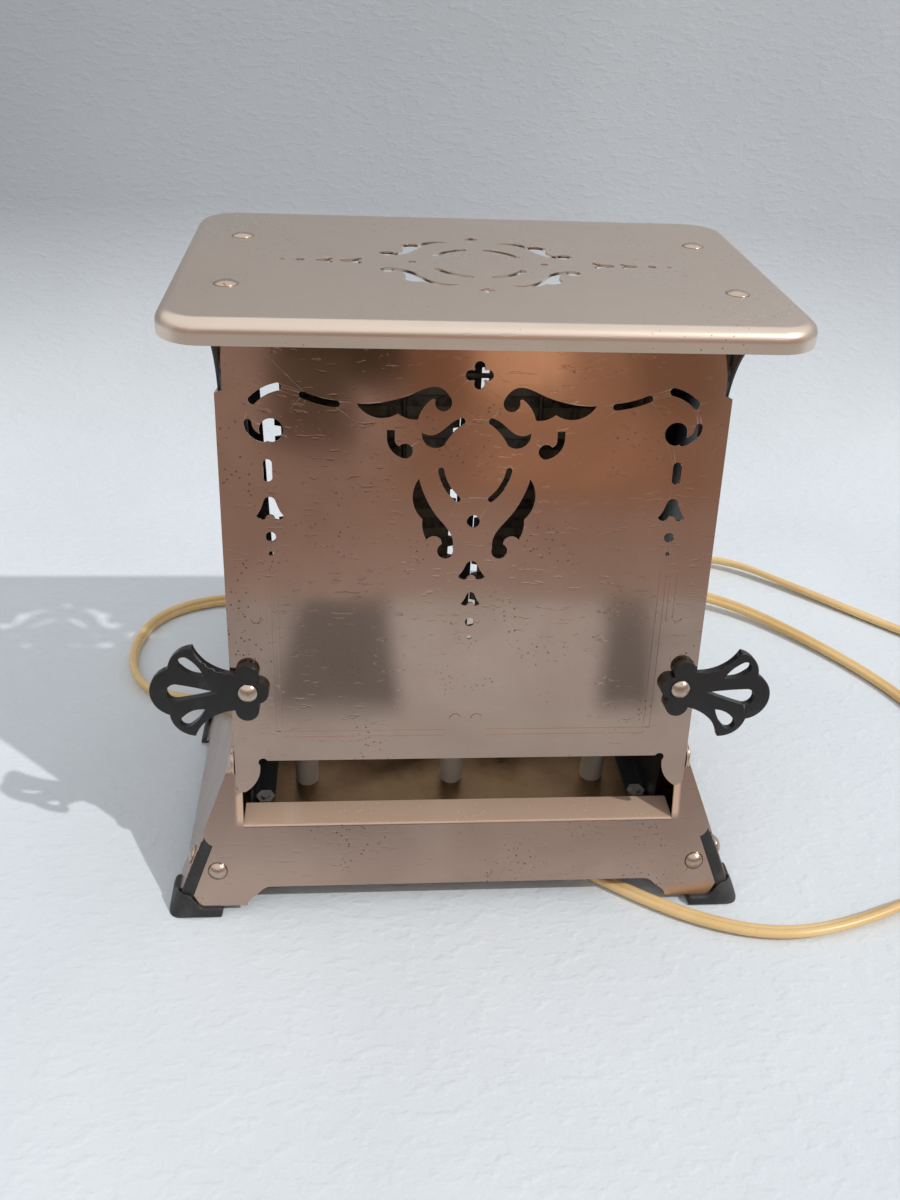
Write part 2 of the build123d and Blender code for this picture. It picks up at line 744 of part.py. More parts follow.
# ---------------------------------------------------------------- end frames
def door_line(height, behind):
    """Half depth at a height of a line this far behind the outer surface of a closed door."""
    rise = height - hinge_height
    outer = hinge_spread - rise * math.tan(lean) + hinge_inset / math.cos(lean)
    return outer - behind / math.cos(lean)


def end_frame(side):
    """A black end frame: a web with flanges behind the doors, flared out under the top plate."""
    seat = door_sheet + running_gap
    waist = hinge_height + frame_waist_rise
    shoulder = plate_top - frame_shoulder_drop
    flare_y, flare_drop = frame_flare_middle
    low = tray_top
    right = [
        Line((0, low), (frame_neck, low)),
        Line((frame_neck, low), (frame_neck, waist - 7.0)),
        Line((frame_neck, waist - 7.0), (door_line(waist, seat), waist)),
        Line((door_line(waist, seat), waist), (door_line(shoulder, seat), shoulder)),
        arc((door_line(shoulder, seat), shoulder), (flare_y, plate_top - flare_drop),
            (frame_flare_y, plate_top - plate_rim - 0.4)),
        Line((frame_flare_y, plate_top - plate_rim - 0.4), (frame_flare_y, plate_under)),
        Line((frame_flare_y, plate_under), (0, plate_under)),
    ]
    left = [edge.mirror(Plane.YZ) for edge in reversed(right)]
    web = Pos(web_inside, 0, 0) * extrude(Plane.YZ * outline(*right, *left), frame_sheet)
    flange_in = web_outside - frame_flange
    strip = outline(
        Line((door_line(waist, seat), waist), (door_line(shoulder, seat), shoulder)),
        Line((door_line(shoulder, seat), shoulder), (door_line(shoulder, seat + frame_sheet), shoulder)),
        Line((door_line(shoulder, seat + frame_sheet), shoulder),
             (door_line(waist, seat + frame_sheet), waist)),
        Line((door_line(waist, seat + frame_sheet), waist), (door_line(waist, seat), waist)),
    )
    flange = Pos(flange_in, 0, 0) * extrude(Plane.YZ * strip, frame_flange)
    foot = box_between((flange_in, -frame_neck, low), (web_outside, frame_neck, low + frame_sheet))
    cap = box_between((flange_in, -30, plate_under - frame_sheet), (web_outside, 30, plate_under))
    frame = web + both_ways(flange) + foot + cap
    frame -= both_ways(Pos(plate_rivet_x, plate_rivet_y, plate_top) * Cylinder(hole_radius, 6))
    frame -= [Pos(x, y, low) * Cylinder(hole_radius, 6) for x, y in tray_screw_places()[:4]]
    return frame if side > 0 else mirror(frame, about=Plane.YZ)


# ---------------------------------------------------------------- heating element
def element_rail(low, high, grip_up):
    """A channel across the end frames that grips the edges of the mica cards."""
    half = rail_depth / 2
    cheek = box_between((-web_inside, mica_thickness / 2 + ribbon_thickness, low),
                        (web_inside, mica_thickness / 2 + ribbon_thickness + rail_sheet, high))
    flat = (low, low + rail_sheet) if grip_up else (high - rail_sheet, high)
    back = box_between((-web_inside, -half, flat[0]), (web_inside, half, flat[1]))
    return back + both_ways(cheek)


def element_rail_bottom():
    rail = element_rail(rail_low, rail_low + rail_grip, True)
    return rail - [Pos(x, 0, rail_low) * Cylinder(hole_radius, 4) for x, y in tray_screw_places()[4:]]


def element_rail_top():
    return element_rail(rail_high - rail_grip, rail_high, False)


def mica_card(side):
    edges = sorted((side * mica_inner, side * mica_outer))
    return box_between((edges[0], -mica_thickness / 2, rail_low + rail_sheet),
                       (edges[1], mica_thickness / 2, rail_high - rail_sheet))


def ribbon(side):
    """The resistance ribbon: flat turns round a card, bulging past its two edges."""
    inner, outer = mica_inner, mica_outer
    half = mica_thickness / 2
    bulge = ribbon_overhang

    def loop(grow):
        return Polygon(
            (inner, -half - grow), (outer, -half - grow), (outer + bulge + grow, 0), (outer, half + grow),
            (inner, half + grow), (inner - bulge - grow, 0), align=None,
        )

    turn = extrude(loop(ribbon_thickness) - loop(0), ribbon_width)
    turns = [Pos(0, 0, ribbon_first + n * ribbon_pitch) * turn for n in range(ribbon_turns)]
    return turns if side > 0 else [mirror(one, about=Plane.YZ) for one in turns]


def centre_post():
    half = post_width / 2
    return box_between((-half, -mica_thickness / 2, rail_low + rail_sheet),
                       (half, mica_thickness / 2, rail_high - rail_sheet))


def insulator(x):
    """A porcelain standoff: two collars with a waist between them."""
    low, high = tray_top, rail_low
    radius = insulator_diameter / 2
    waist = 0.72 * radius
    mid = (low + high) / 2
    profile = outline(
        Line((hole_radius, low), (radius, low)),
        Line((radius, low), (radius, low + 11)),
        arc((radius, low + 11), (waist, mid), (radius, high - 11)),
        Line((radius, high - 11), (radius, high)),
        Line((radius, high), (hole_radius, high)),
        Line((hole_radius, high), (hole_radius, low)),
    )
    return Pos(x, 0, 0) * revolve(Plane.XZ * profile, Axis.Z)


def insulators():
    return [insulator(x) for x, y in tray_screw_places()[4:]]


def insulator_screws():
    screws = []
    for x, y in tray_screw_places()[4:]:
        screws.append(pan_screw(x, y, rail_low + rail_sheet - 0.05))
    return screws


def bread_guard():
    """Upright wires that keep the bread off the ribbon, bent out at the foot to carry it."""
    radius = guard_wire / 2
    uprights = []
    for column in guard_columns:
        points = [(column, -guard_top_y, guard_top_z), (column, -guard_foot_y, guard_foot_z),
                  (column, -guard_rest_y, guard_rest_z)]
        uprights += both_sides(tube(points, [3.0], radius))
    end = web_inside
    rails = [
        cylinder_between((-end, -guard_top_y, guard_top_z), (end, -guard_top_y, guard_top_z), radius),
        cylinder_between((-end, -guard_foot_y - 4, guard_foot_z - 1.5),
                         (end, -guard_foot_y - 4, guard_foot_z - 1.5), radius),
    ]
    guard = uprights[0]
    for wire in uprights[1:] + rails:
        guard = guard + wire
    return guard


# ---------------------------------------------------------------- wiring
def terminal_block():
    long, deep, high = block_size
    block = Pos(block_x, block_y, tray_top + high / 2) * Box(long, deep, high)
    rib = Pos(block_x, block_y, tray_top + high) * Box(3, deep, 3)
    return block + rib


def terminal_screws():
    long, deep, high = block_size
    seat = tray_top + high
    screws = []
    for side in (-1, 1):
        head = Pos(block_x + side * long / 4, block_y, seat + 0.9) * Cylinder(2.6, 1.8)
        screws.append(head - Pos(block_x + side * long / 4, block_y, seat + 1.8) * Box(6, 0.7, 1.2))
    return screws


def lead_wires():
    """Two sleeved leads from the terminals up to the outer lower corner of each card."""
    wires = []
    start_z = tray_top + block_size[2] + lead_diameter / 2
    end_y = mica_thickness / 2 + ribbon_thickness + rail_sheet + lead_diameter / 2 + 0.1
    for side in (-1, 1):
        x = block_x + side * (block_size[0] / 4 + 4.5)
        points = [
            (x, block_y, start_z), (x, block_y - 12, start_z + 1),
            (side * 48.0, 12.0, start_z + 14), (side * 56.0, end_y + 1.2, rail_low + 6.5),
            (side * 56.0, end_y, ribbon_first + 1),
        ]
        wires.append(tube(points, [0.5 * lead_bend, lead_bend, lead_bend], lead_diameter / 2))
    return wires


def supply_leads():
    """The cord's two conductors, from its inner end to the end of the terminal block."""
    radius = supply_diameter / 2
    end_x = block_x + block_size[0] / 2
    height = tray_top + block_size[2] / 2
    wires = []
    for side in (-1, 1):
        start, bend = along_bushing(cord_inside), along_bushing(cord_inside - 3.7)
        points = [
            (start[0] + side * 1.2, *start[1:]), (bend[0] + side * 1.2, *bend[1:]),
            (end_x + 4, block_y - side * 2.4, height), (end_x, block_y - side * 2.4, height),
        ]
        wires.append(tube(points, [2.0, 3.0], radius))
    return wires


def cord_bushing():
    """A turned fibre bushing in the rear apron, with a flange outside."""
    inside = cord_radius + slide_gap
    barrel = bushing_diameter / 2
    profile = outline(
        Line((inside, -4), (barrel, -4)),
        Line((barrel, -4), (barrel, 0)),
        Line((barrel, 0), (barrel + 1.6, 0)),
        Line((barrel + 1.6, 0), (barrel + 1.6, 1.2)),
        Line((barrel + 1.6, 1.2), (barrel, 2.4)),
        Line((barrel, 2.4), (inside, 2.4)),
        Line((inside, 2.4), (inside, -4)),
    )
    x, y, z = bushing_place()
    return Plane(origin=(x, y, z), z_dir=(0, 1, apron_slope)) * revolve(Plane.XZ * profile, Axis.Z)


def along_bushing(distance):
    """A point on the bushing's axis, this far outside the apron."""
    x, y, z = bushing_place()
    axis = Vector(0, 1, apron_slope).normalized()
    return (x, y + distance * axis.Y, z + distance * axis.Z)


# The flexible cord lies on the table: under the lowered door, out and back beyond the right hand
# side, round the left of the base, under it and away to the coil.
floor_line = cord_radius
cord_inner_end = along_bushing(cord_inside)
cord_outside = along_bushing(9.0)
cord_route = [
    cord_inner_end, cord_outside, (48.0, 67.0, 18.0), (54.0, 81.0, 6.6),
    (68.0, 101.0, floor_line), (82.0, 128.0, floor_line), (101.0, 152.0, floor_line),
    (124.0, 165.0, 4.0), (149.0, 162.0, 5.0), (174.0, 141.5, 3.0), (204.0, 113.0, floor_line),
    (236.0, 82.0, floor_line), (253.0, 51.0, floor_line), (246.0, 22.0, floor_line),
    (219.0, 12.0, floor_line), (200.0, 32.0, floor_line), (190.0, 63.0, floor_line),
    (168.0, 95.0, 3.0), (141.0, 122.0, 4.5), (112.0, 131.5, 7.9), (84.0, 131.0, 8.1),
    (56.0, 127.0, 5.0), (26.0, 124.5, floor_line), (-12.0, 124.0, floor_line),
    (-54.0, 130.5, floor_line), (-94.0, 132.0, floor_line), (-121.0, 118.0, floor_line),
    (-128.0, 89.0, floor_line), (-119.0, 64.0, floor_line), (-96.0, 57.0, floor_line),
    (-64.0, 56.0, floor_line), (-36.0, 38.0, floor_line), (-6.0, 10.0, floor_line),
    (24.0, -20.0, floor_line), (52.0, -42.5, floor_line), (76.0, -57.5, floor_line),
    (101.0, -64.5, floor_line), (127.0, -60.5, floor_line), (155.0, -50.0, floor_line),
    (185.0, -50.6, floor_line),
]
tail_route = [
    (coil_centre[0] + coil_middle_radius + 2.3, coil_centre[1], coil_height - cord_radius),
    (230.0, -95.5, 11.0), (237.0, -111.0, 9.2), (249.0, -123.5, plug_thickness / 2),
    (263.0, -131.0, plug_thickness / 2),
]


def cord():
    return tube(cord_route, bend_radii(cord_route), cord_radius)


def cord_tail():
    return tube(tail_route, bend_radii(tail_route), cord_radius)


def cord_coil():
    """The outer form of the coiled length, with a groove where each end of the cord runs in."""
    x, y = coil_centre
    outer = coil_middle_radius + coil_width / 2
    inner = coil_middle_radius - coil_width / 2
    ring = extrude(Circle(outer) - Circle(inner), coil_height)
    ring = chamfer(ring.edges().filter_by(GeomType.CIRCLE), 0.4 * cord_diameter)
    grooves = [
        tube(cord_route[-3:], bend_radii(cord_route[-3:]), cord_radius + slide_gap),
        tube(tail_route, bend_radii(tail_route), cord_radius + slide_gap),
    ]
    return Pos(x, y, 0) * ring - grooves


def plug_frame():
    before, last = Vector(*tail_route[-2]), Vector(*tail_route[-1])
    flat = Vector(last.X - before.X, last.Y - before.Y, 0).normalized()
    return Location(Plane(origin=(last.X, last.Y, plug_thickness / 2), x_dir=(-flat.Y, flat.X, 0),
                          z_dir=(flat.X, flat.Y, 0)))


def plug_body():
    """A moulded two-pin plug, drawn in towards the cord."""
    front = Pos(0, 0, plug_length) * RectangleRounded(plug_width, plug_thickness, 7.5)
    middle = Pos(0, 0, 0.55 * plug_length) * RectangleRounded(0.94 * plug_width, plug_thickness, 7.5)
    rear = RectangleRounded(13.0, 11.0, 4.5)
    return plug_frame() * loft([rear, middle, front], ruled=True)


def plug_pins():
    pins = []
    for side in (-1, 1):
        pin = Pos(side * plug_pin_spacing / 2, 0, plug_length) * extrude(
            Circle(plug_pin_diameter / 2), plug_pin_length
        )
        pins.append(plug_frame() * chamfer(pin.edges().group_by(Axis.Z)[-1], 0.9))
    return pins


# ---------------------------------------------------------------- writing
def write(name, shapes):
    group = shapes if isinstance(shapes, list) else [shapes]
    solids = [solid for shape in group for solid in shape.solids()]
    part = solids[0] if len(solids) == 1 else Compound(children=solids)
    part.label = name
    export_step(part, f"parts/{name}.step")


def main():
    os.makedirs("parts", exist_ok=True)
    print("cord radii", [round(r, 1) for r in bend_radii(cord_route)])
    print("tail radii", [round(r, 1) for r in bend_radii(tail_route)])
    print("opening angle", round(opening_angle, 3))
    walls = long_walls() + end_walls()
    foot = corner_foot(walls)
    upright_door = door()
    write("top_plate", top_plate())
    write("top_plate_rivets", top_plate_rivets())
    write("end_frame_left", end_frame(-1))
    write("end_frame_right", end_frame(1))
    write("base_shell", base_shell())
    write("base_tray", base_tray())
    write("foot_front_right", foot)
    write("foot_front_left", mirror(foot, about=Plane.YZ))
    write("foot_rear_right", mirror(foot, about=Plane.XZ))
    write("foot_rear_left", mirror(mirror(foot, about=Plane.YZ), about=Plane.XZ))
    write("foot_rivets", foot_rivets())
    write("frame_screws", frame_screws())
    write("front_door", closed_front(upright_door))
    write("front_handle_left", closed_front(placed_handle(-1)))
    write("front_handle_right", closed_front(placed_handle(1)))
    write("front_handle_rivets", [closed_front(handle_rivet(side)) for side in (-1, 1)])
    write("rear_door", lowered_rear(upright_door))
    write("rear_handle", lowered_rear(placed_handle(-1)))
    write("rear_handle_rivet", lowered_rear(handle_rivet(-1)))
    write("hinge_pins_front", [hinge_pin(side, -hinge_spread) for side in (-1, 1)])
    write("hinge_pins_rear", [hinge_pin(side, hinge_spread) for side in (-1, 1)])
    write("element_rail_bottom", element_rail_bottom())
    write("element_rail_top", element_rail_top())
    write("mica_card_left", mica_card(-1))
    write("mica_card_right", mica_card(1))
    write("ribbon_left", ribbon(-1))
    write("ribbon_right", ribbon(1))
    write("centre_post", centre_post())
    write("insulators", insulators())
    write("insulator_screws", insulator_screws())
    guard = bread_guard()
    write("bread_guard_front", guard)
    write("bread_guard_rear", mirror(guard, about=Plane.XZ))
    write("terminal_block", terminal_block())
    write("terminal_screws", terminal_screws())
    write("lead_wires", lead_wires())
    write("supply_leads", supply_leads())
    write("cord_bushing", cord_bushing())
    write("cord", cord())
    write("cord_coil", cord_coil())
    write("cord_tail", cord_tail())
    write("plug_body", plug_body())
    write("plug_pins", plug_pins())


main()
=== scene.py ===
import json
import math

import bmesh
import bpy
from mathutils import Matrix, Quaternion, Vector

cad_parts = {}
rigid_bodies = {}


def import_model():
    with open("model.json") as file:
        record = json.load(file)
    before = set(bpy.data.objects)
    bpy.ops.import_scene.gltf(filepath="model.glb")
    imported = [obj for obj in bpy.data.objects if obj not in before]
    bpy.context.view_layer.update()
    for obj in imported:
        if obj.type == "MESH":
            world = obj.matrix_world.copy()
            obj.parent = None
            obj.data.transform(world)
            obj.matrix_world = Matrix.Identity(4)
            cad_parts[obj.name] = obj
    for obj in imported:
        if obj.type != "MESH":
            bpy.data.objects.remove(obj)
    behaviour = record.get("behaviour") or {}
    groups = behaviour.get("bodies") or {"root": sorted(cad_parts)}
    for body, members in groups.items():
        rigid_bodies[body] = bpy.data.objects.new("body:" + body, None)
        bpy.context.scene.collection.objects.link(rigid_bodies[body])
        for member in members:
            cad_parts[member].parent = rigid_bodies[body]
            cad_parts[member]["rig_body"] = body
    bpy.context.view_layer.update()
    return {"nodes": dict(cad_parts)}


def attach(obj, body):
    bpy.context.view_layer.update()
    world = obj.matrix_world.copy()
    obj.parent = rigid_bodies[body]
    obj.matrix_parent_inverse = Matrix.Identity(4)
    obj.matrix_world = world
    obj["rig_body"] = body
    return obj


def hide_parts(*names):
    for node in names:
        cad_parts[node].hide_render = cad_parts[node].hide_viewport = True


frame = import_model()
nodes = frame["nodes"]

MM = 0.001

# ---- the toaster's own sizes, in millimetres ----
LEDGE_HEIGHT = 29.3          # of the flat ledges inside the base
LEDGE_EDGE = 39.7            # how far out they reach, front and back
LEDGE_REACH = 70.0           # and to each side
PLATE_TOP = 192.0            # the plate's upper face, which the rivets stand on
RIVET_SHARE = 0.55           # how much of their height the plate's worn rivets keep
BASE_HALF_LENGTH = 90.72     # at the table
BASE_HALF_DEPTH = 48.83
END_SLOPE = 0.40             # how far the end walls lean in for each millimetre up
APRON_SLOPE = 0.322          # and the front and back walls
FOOT_LIP = 1.4               # how far a foot stands out past the base
FOOT_CORNER = 3.6            # radius of a foot's corner, seen from above
FOOT_GRAIN = 0.5             # size of the even mesh that a foot is shaped on
FOOT_SOFTENING = 12          # passes of smoothing
TOE_RISE = 5.0               # how much higher a foot reaches round the corner of the base
SHEET_AREA = 3000.0          # square millimetres: a flat side larger than this is shaded as a plane
MERGE = 0.002                # corners nearer than this are one
DOOR_EDGE = 0.09             # how much the edges of each plated piece are softened
PLATE_EDGE = 0.18
BASE_EDGE = 0.28
FRAME_EDGE = 0.15
CORD_WIDTH = 5.0
CORD_THICKNESS = 3.0
RELIEF_LENGTH = 21.0         # of the ribbed sleeve at the plug


def mm(*values):
    return Vector(values) * MM


# ---------------------------------------------------------------- selecting and editing
def deselect_all():
    if bpy.context.object and bpy.context.object.mode != "OBJECT":
        bpy.ops.object.mode_set(mode="OBJECT")
    bpy.ops.object.select_all(action="DESELECT")


def make_active(piece):
    deselect_all()
    piece.select_set(True)
    bpy.context.view_layer.objects.active = piece


def apply_modifiers(piece):
    make_active(piece)
    for modifier in list(piece.modifiers):
        bpy.ops.object.modifier_apply(modifier=modifier.name)


def smooth(piece, angle=35):
    make_active(piece)
    bpy.ops.object.shade_smooth_by_angle(angle=math.radians(angle))


def bevel(piece, width, segments=2, angle=40):
    modifier = piece.modifiers.new("edge", "BEVEL")
    modifier.width = width * MM
    modifier.segments = segments
    modifier.limit_method = "ANGLE"
    modifier.angle_limit = math.radians(angle)
    apply_modifiers(piece)


def weigh_normals(piece):
    """Keeps the shading of large flat faces flat beside rounded edges."""
    modifier = piece.modifiers.new("flat", "WEIGHTED_NORMAL")
    modifier.mode = "FACE_AREA"
    modifier.weight = 100
    modifier.keep_sharp = True
    apply_modifiers(piece)


def flatten_sides(piece):
    """Shades a sheet's large flat sides as one plane, however its piercings divide them."""
    sides = {}
    for face in piece.data.polygons:
        depth = face.normal.dot(face.center) / MM
        way = tuple(round(part, 2) for part in (*face.normal, depth))
        sides.setdefault(way, []).append(face)
    for faces in sides.values():
        if sum(face.area for face in faces) > SHEET_AREA * MM * MM:
            for face in faces:
                face.use_smooth = False


def finished_copy(node, name, edge=0.0, angle=35):
    """A clean copy of a node with merged corners, softened edges and smooth shading, in its place."""
    source = nodes[node]
    piece = bpy.data.objects.new(name, source.data.copy())
    bpy.context.scene.collection.objects.link(piece)
    make_active(piece)
    bpy.ops.object.mode_set(mode="EDIT")
    bpy.ops.mesh.select_all(action="SELECT")
    bpy.ops.mesh.remove_doubles(threshold=MERGE * MM)
    bpy.ops.object.mode_set(mode="OBJECT")
    if edge:
        bevel(piece, edge)
    smooth(piece, angle)
    flatten_sides(piece)
    weigh_normals(piece)
    piece.data.materials.clear()
    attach(piece, source["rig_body"])
    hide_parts(node)
    return piece


def coat(piece, material):
    """Gives a piece its finish."""
    piece.data.materials.clear()
    piece.data.materials.append(material)


# ---------------------------------------------------------------- shader helpers
def new_material(name, **settings):
    material = bpy.data.materials.new(name)
    material.use_nodes = True
    shader = material.node_tree.nodes["Principled BSDF"]
    for socket, value in settings.items():
        shader.inputs[socket.replace("_", " ")].default_value = value
    return material, material.node_tree, shader


def add(tree, kind, **settings):
    node = tree.nodes.new(kind)
    for key, value in settings.items():
        if key.startswith("in_"):
            name = key[3:].replace("_", " ")
            node.inputs[name].default_value = value
        else:
            setattr(node, key, value)
    return node


def object_coordinates(tree, scale=(1, 1, 1)):
    place = add(tree, "ShaderNodeTexCoord")
    mapping = add(tree, "ShaderNodeMapping")
    mapping.inputs["Scale"].default_value = scale
    tree.links.new(place.outputs["Object"], mapping.inputs["Vector"])
    return mapping.outputs["Vector"]


def noise(tree, vector, scale, detail=4.0, roughness=0.55, distortion=0.0):
    node = add(tree, "ShaderNodeTexNoise", in_Scale=scale, in_Detail=detail,
               in_Roughness=roughness, in_Distortion=distortion)
    tree.links.new(vector, node.inputs["Vector"])
    return node.outputs["Fac"]


def remap(tree, value, low, high, to_low=0.0, to_high=1.0):
    node = add(tree, "ShaderNodeMapRange")
    node.inputs["From Min"].default_value = low
    node.inputs["From Max"].default_value = high
    node.inputs["To Min"].default_value = to_low
    node.inputs["To Max"].default_value = to_high
    tree.links.new(value, node.inputs["Value"])
    return node.outputs["Result"]


def blend_colours(tree, factor, low, high, mode="MIX"):
    node = add(tree, "ShaderNodeMix", data_type="RGBA", blend_type=mode)
    tree.links.new(factor, node.inputs[0])
    for socket, colour in ((node.inputs[6], low), (node.inputs[7], high)):
        if isinstance(colour, bpy.types.NodeSocket):
            tree.links.new(colour, socket)
        else:
            socket.default_value = (*colour, 1)
    return node.outputs[2]


def calculate(tree, operation, *values):
    """One Math node: each value is another node's output or a plain number."""
    node = add(tree, "ShaderNodeMath", operation=operation)
    for socket, value in zip(node.inputs, values):
        if isinstance(value, bpy.types.NodeSocket):
            tree.links.new(value, socket)
        else:
            socket.default_value = value
    return node.outputs[0]


def multiply(tree, first, second):
    return calculate(tree, "MULTIPLY", first, second)


def split_xyz(tree, vector):
    node = add(tree, "ShaderNodeSeparateXYZ")
    tree.links.new(vector, node.inputs["Vector"])
    return node.outputs["X"], node.outputs["Y"], node.outputs["Z"]


def mix_shaders(tree, factor, first, second, out):
    node = add(tree, "ShaderNodeMixShader")
    for socket, value in zip(node.inputs, (factor, first.outputs[0], second.outputs[0])):
        tree.links.new(value, socket)
    tree.links.new(node.outputs[0], out.inputs["Surface"])


def mix_numbers(tree, factor, low, high):
    """A number that goes from low to high as the factor goes from 0 to 1."""
    node = add(tree, "ShaderNodeMix", data_type="FLOAT")
    for socket, value in zip((node.inputs[0], node.inputs[2], node.inputs[3]), (factor, low, high)):
        if isinstance(value, bpy.types.NodeSocket):
            tree.links.new(value, socket)
        else:
            socket.default_value = value
    return node.outputs[0]


def bump(tree, shader, height, strength, distance):
    node = add(tree, "ShaderNodeBump")
    node.inputs["Strength"].default_value = strength
    node.inputs["Distance"].default_value = distance * MM
    tree.links.new(height, node.inputs["Height"])
    tree.links.new(node.outputs["Normal"], shader.inputs["Normal"])


def group_wear():
    """Age marks shared by the plated pieces: soft smudges, fine pits and faint scratches."""
    group = bpy.data.node_groups.new("plating wear", "ShaderNodeTree")
    face = group.interface
    face.new_socket("Vector", in_out="INPUT", socket_type="NodeSocketVector")
    for name in ("Smudge scale", "Pit scale", "Pit size"):
        face.new_socket(name, in_out="INPUT", socket_type="NodeSocketFloat")
    for name in ("Smudge", "Pits", "Scratches"):
        face.new_socket(name, in_out="OUTPUT", socket_type="NodeSocketFloat")
    start = group.nodes.new("NodeGroupInput")
    end = group.nodes.new("NodeGroupOutput")
    vector = start.outputs["Vector"]

    cloud = add(group, "ShaderNodeTexNoise", in_Detail=6.0, in_Roughness=0.62, in_Distortion=0.6)
    group.links.new(vector, cloud.inputs["Vector"])
    group.links.new(start.outputs["Smudge scale"], cloud.inputs["Scale"])
    group.links.new(remap(group, cloud.outputs["Fac"], 0.36, 0.68), end.inputs["Smudge"])

    dots = add(group, "ShaderNodeTexVoronoi", feature="F1")
    group.links.new(vector, dots.inputs["Vector"])
    group.links.new(start.outputs["Pit scale"], dots.inputs["Scale"])
    spot = calculate(group, "LESS_THAN", dots.outputs["Distance"], start.outputs["Pit size"])
    patch = remap(group, noise(group, vector, 45.0, 3.0), 0.52, 0.62)
    group.links.new(multiply(group, spot, patch), end.inputs["Pits"])

    streak = add(group, "ShaderNodeMapping")
    streak.inputs["Rotation"].default_value = (0.2, 0.5, 0.9)
    streak.inputs["Scale"].default_value = (1.0, 14.0, 3.0)
    group.links.new(vector, streak.inputs["Vector"])
    lines = noise(group, streak.outputs["Vector"], 190.0, 2.0, 0.5)
    group.links.new(remap(group, lines, 0.63, 0.72), end.inputs["Scratches"])
    return group


plating_wear = group_wear()

PIT_COLOUR = (0.09, 0.065, 0.05)
FILM_COLOUR = (0.60, 0.425, 0.315)
FILM_METALLIC = 0.12


def ledge_film(tree, vector):
    """1 on the two flat ledges inside the base, where crumbs and heat have dulled the plate."""
    x, y, z = split_xyz(tree, vector)
    inside = remap(tree, calculate(tree, "ABSOLUTE", y), LEDGE_EDGE * MM, (LEDGE_EDGE - 0.9) * MM)
    between = remap(tree, calculate(tree, "ABSOLUTE", x), LEDGE_REACH * MM, (LEDGE_REACH - 1.0) * MM)
    high = remap(tree, z, (LEDGE_HEIGHT - 0.6) * MM, (LEDGE_HEIGHT - 0.2) * MM)
    return multiply(tree, multiply(tree, inside, between), high)


def nickel(name, pale, brown, shade, roughness, smudge_scale=22.0, pit_amount=0.19, dulled=False):
    """Worn nickel plate: warm metal, browner where it is tarnished, with pits and wiped smudges."""
    material, tree, shader = new_material(name, Metallic=1.0)
    vector = object_coordinates(tree)
    wear = add(tree, "ShaderNodeGroup", node_tree=plating_wear)
    tree.links.new(vector, wear.inputs["Vector"])
    wear.inputs["Smudge scale"].default_value = smudge_scale
    wear.inputs["Pit scale"].default_value = 620.0
    wear.inputs["Pit size"].default_value = pit_amount
    tarnish = blend_colours(tree, wear.outputs["Smudge"], pale, brown)
    haze = remap(tree, noise(tree, vector, 7.0, 3.0), 0.40, 0.62)
    toned = blend_colours(tree, haze, tarnish, shade, "MULTIPLY")
    pitted = blend_colours(tree, multiply(tree, wear.outputs["Pits"], 0.7), toned, PIT_COLOUR)
    if dulled:
        film = ledge_film(tree, vector)
        pitted = blend_colours(tree, film, pitted, FILM_COLOUR)
        tree.links.new(remap(tree, film, 0, 1, 1.0, FILM_METALLIC), shader.inputs["Metallic"])
    tree.links.new(pitted, shader.inputs["Base Color"])
    smudged = remap(tree, wear.outputs["Smudge"], 0, 1, roughness, roughness + 0.06)
    rough = calculate(tree, "ADD", smudged, multiply(tree, wear.outputs["Pits"], 0.3))
    tree.links.new(rough, shader.inputs["Roughness"])
    dents = multiply(tree, noise(tree, vector, 16.0, 2.0), 0.7)
    scratched = calculate(tree, "ADD", dents, multiply(tree, wear.outputs["Scratches"], -0.05))
    bump(tree, shader, scratched, 0.35, 0.6)
    return material


def satin_black(name, colour, worn, roughness, grain=420.0, wear_from=0.60):
    """Black moulding or enamel, dusty in places, with a fine grain."""
    material, tree, shader = new_material(name, Specular_IOR_Level=0.45)
    vector = object_coordinates(tree)
    dust = remap(tree, noise(tree, vector, 60.0, 6.0, 0.65), wear_from, wear_from + 0.2)
    tree.links.new(blend_colours(tree, dust, colour, worn), shader.inputs["Base Color"])
    tree.links.new(remap(tree, noise(tree, vector, 90.0), 0.3, 0.7, roughness - 0.06, roughness + 0.12),
                   shader.inputs["Roughness"])
    bump(tree, shader, noise(tree, vector, grain, 3.0), 0.25, 0.12)
    return material


def mica_sheet():
    """Mica: grey-brown flakes with long cloudy streaks."""
    material, tree, shader = new_material("mica", Specular_IOR_Level=0.6)
    vector = object_coordinates(tree, (1.0, 1.0, 0.35))
    flakes = remap(tree, noise(tree, vector, 110.0, 7.0, 0.6, 0.8), 0.35, 0.68)
    base = blend_colours(tree, flakes, (0.150, 0.128, 0.092), (0.30, 0.262, 0.196))
    rust = remap(tree, noise(tree, vector, 28.0, 3.0), 0.55, 0.72)
    tree.links.new(blend_colours(tree, rust, base, (0.20, 0.135, 0.078)), shader.inputs["Base Color"])
    tree.links.new(remap(tree, flakes, 0, 1, 0.22, 0.45), shader.inputs["Roughness"])
    bump(tree, shader, flakes, 0.4, 0.15)
    return material


def oxidised(name, dark, light, roughness, metallic=0.9, scale=240.0):
    """Heated or dull steel: uneven grey with a warm bloom."""
    material, tree, shader = new_material(name, Metallic=metallic)
    vector = object_coordinates(tree)
    cloud = remap(tree, noise(tree, vector, scale, 5.0, 0.6), 0.32, 0.7)
    tree.links.new(blend_colours(tree, cloud, dark, light), shader.inputs["Base Color"])
    tree.links.new(remap(tree, cloud, 0, 1, roughness, roughness + 0.2), shader.inputs["Roughness"])
    bump(tree, shader, cloud, 0.2, 0.08)
    return material


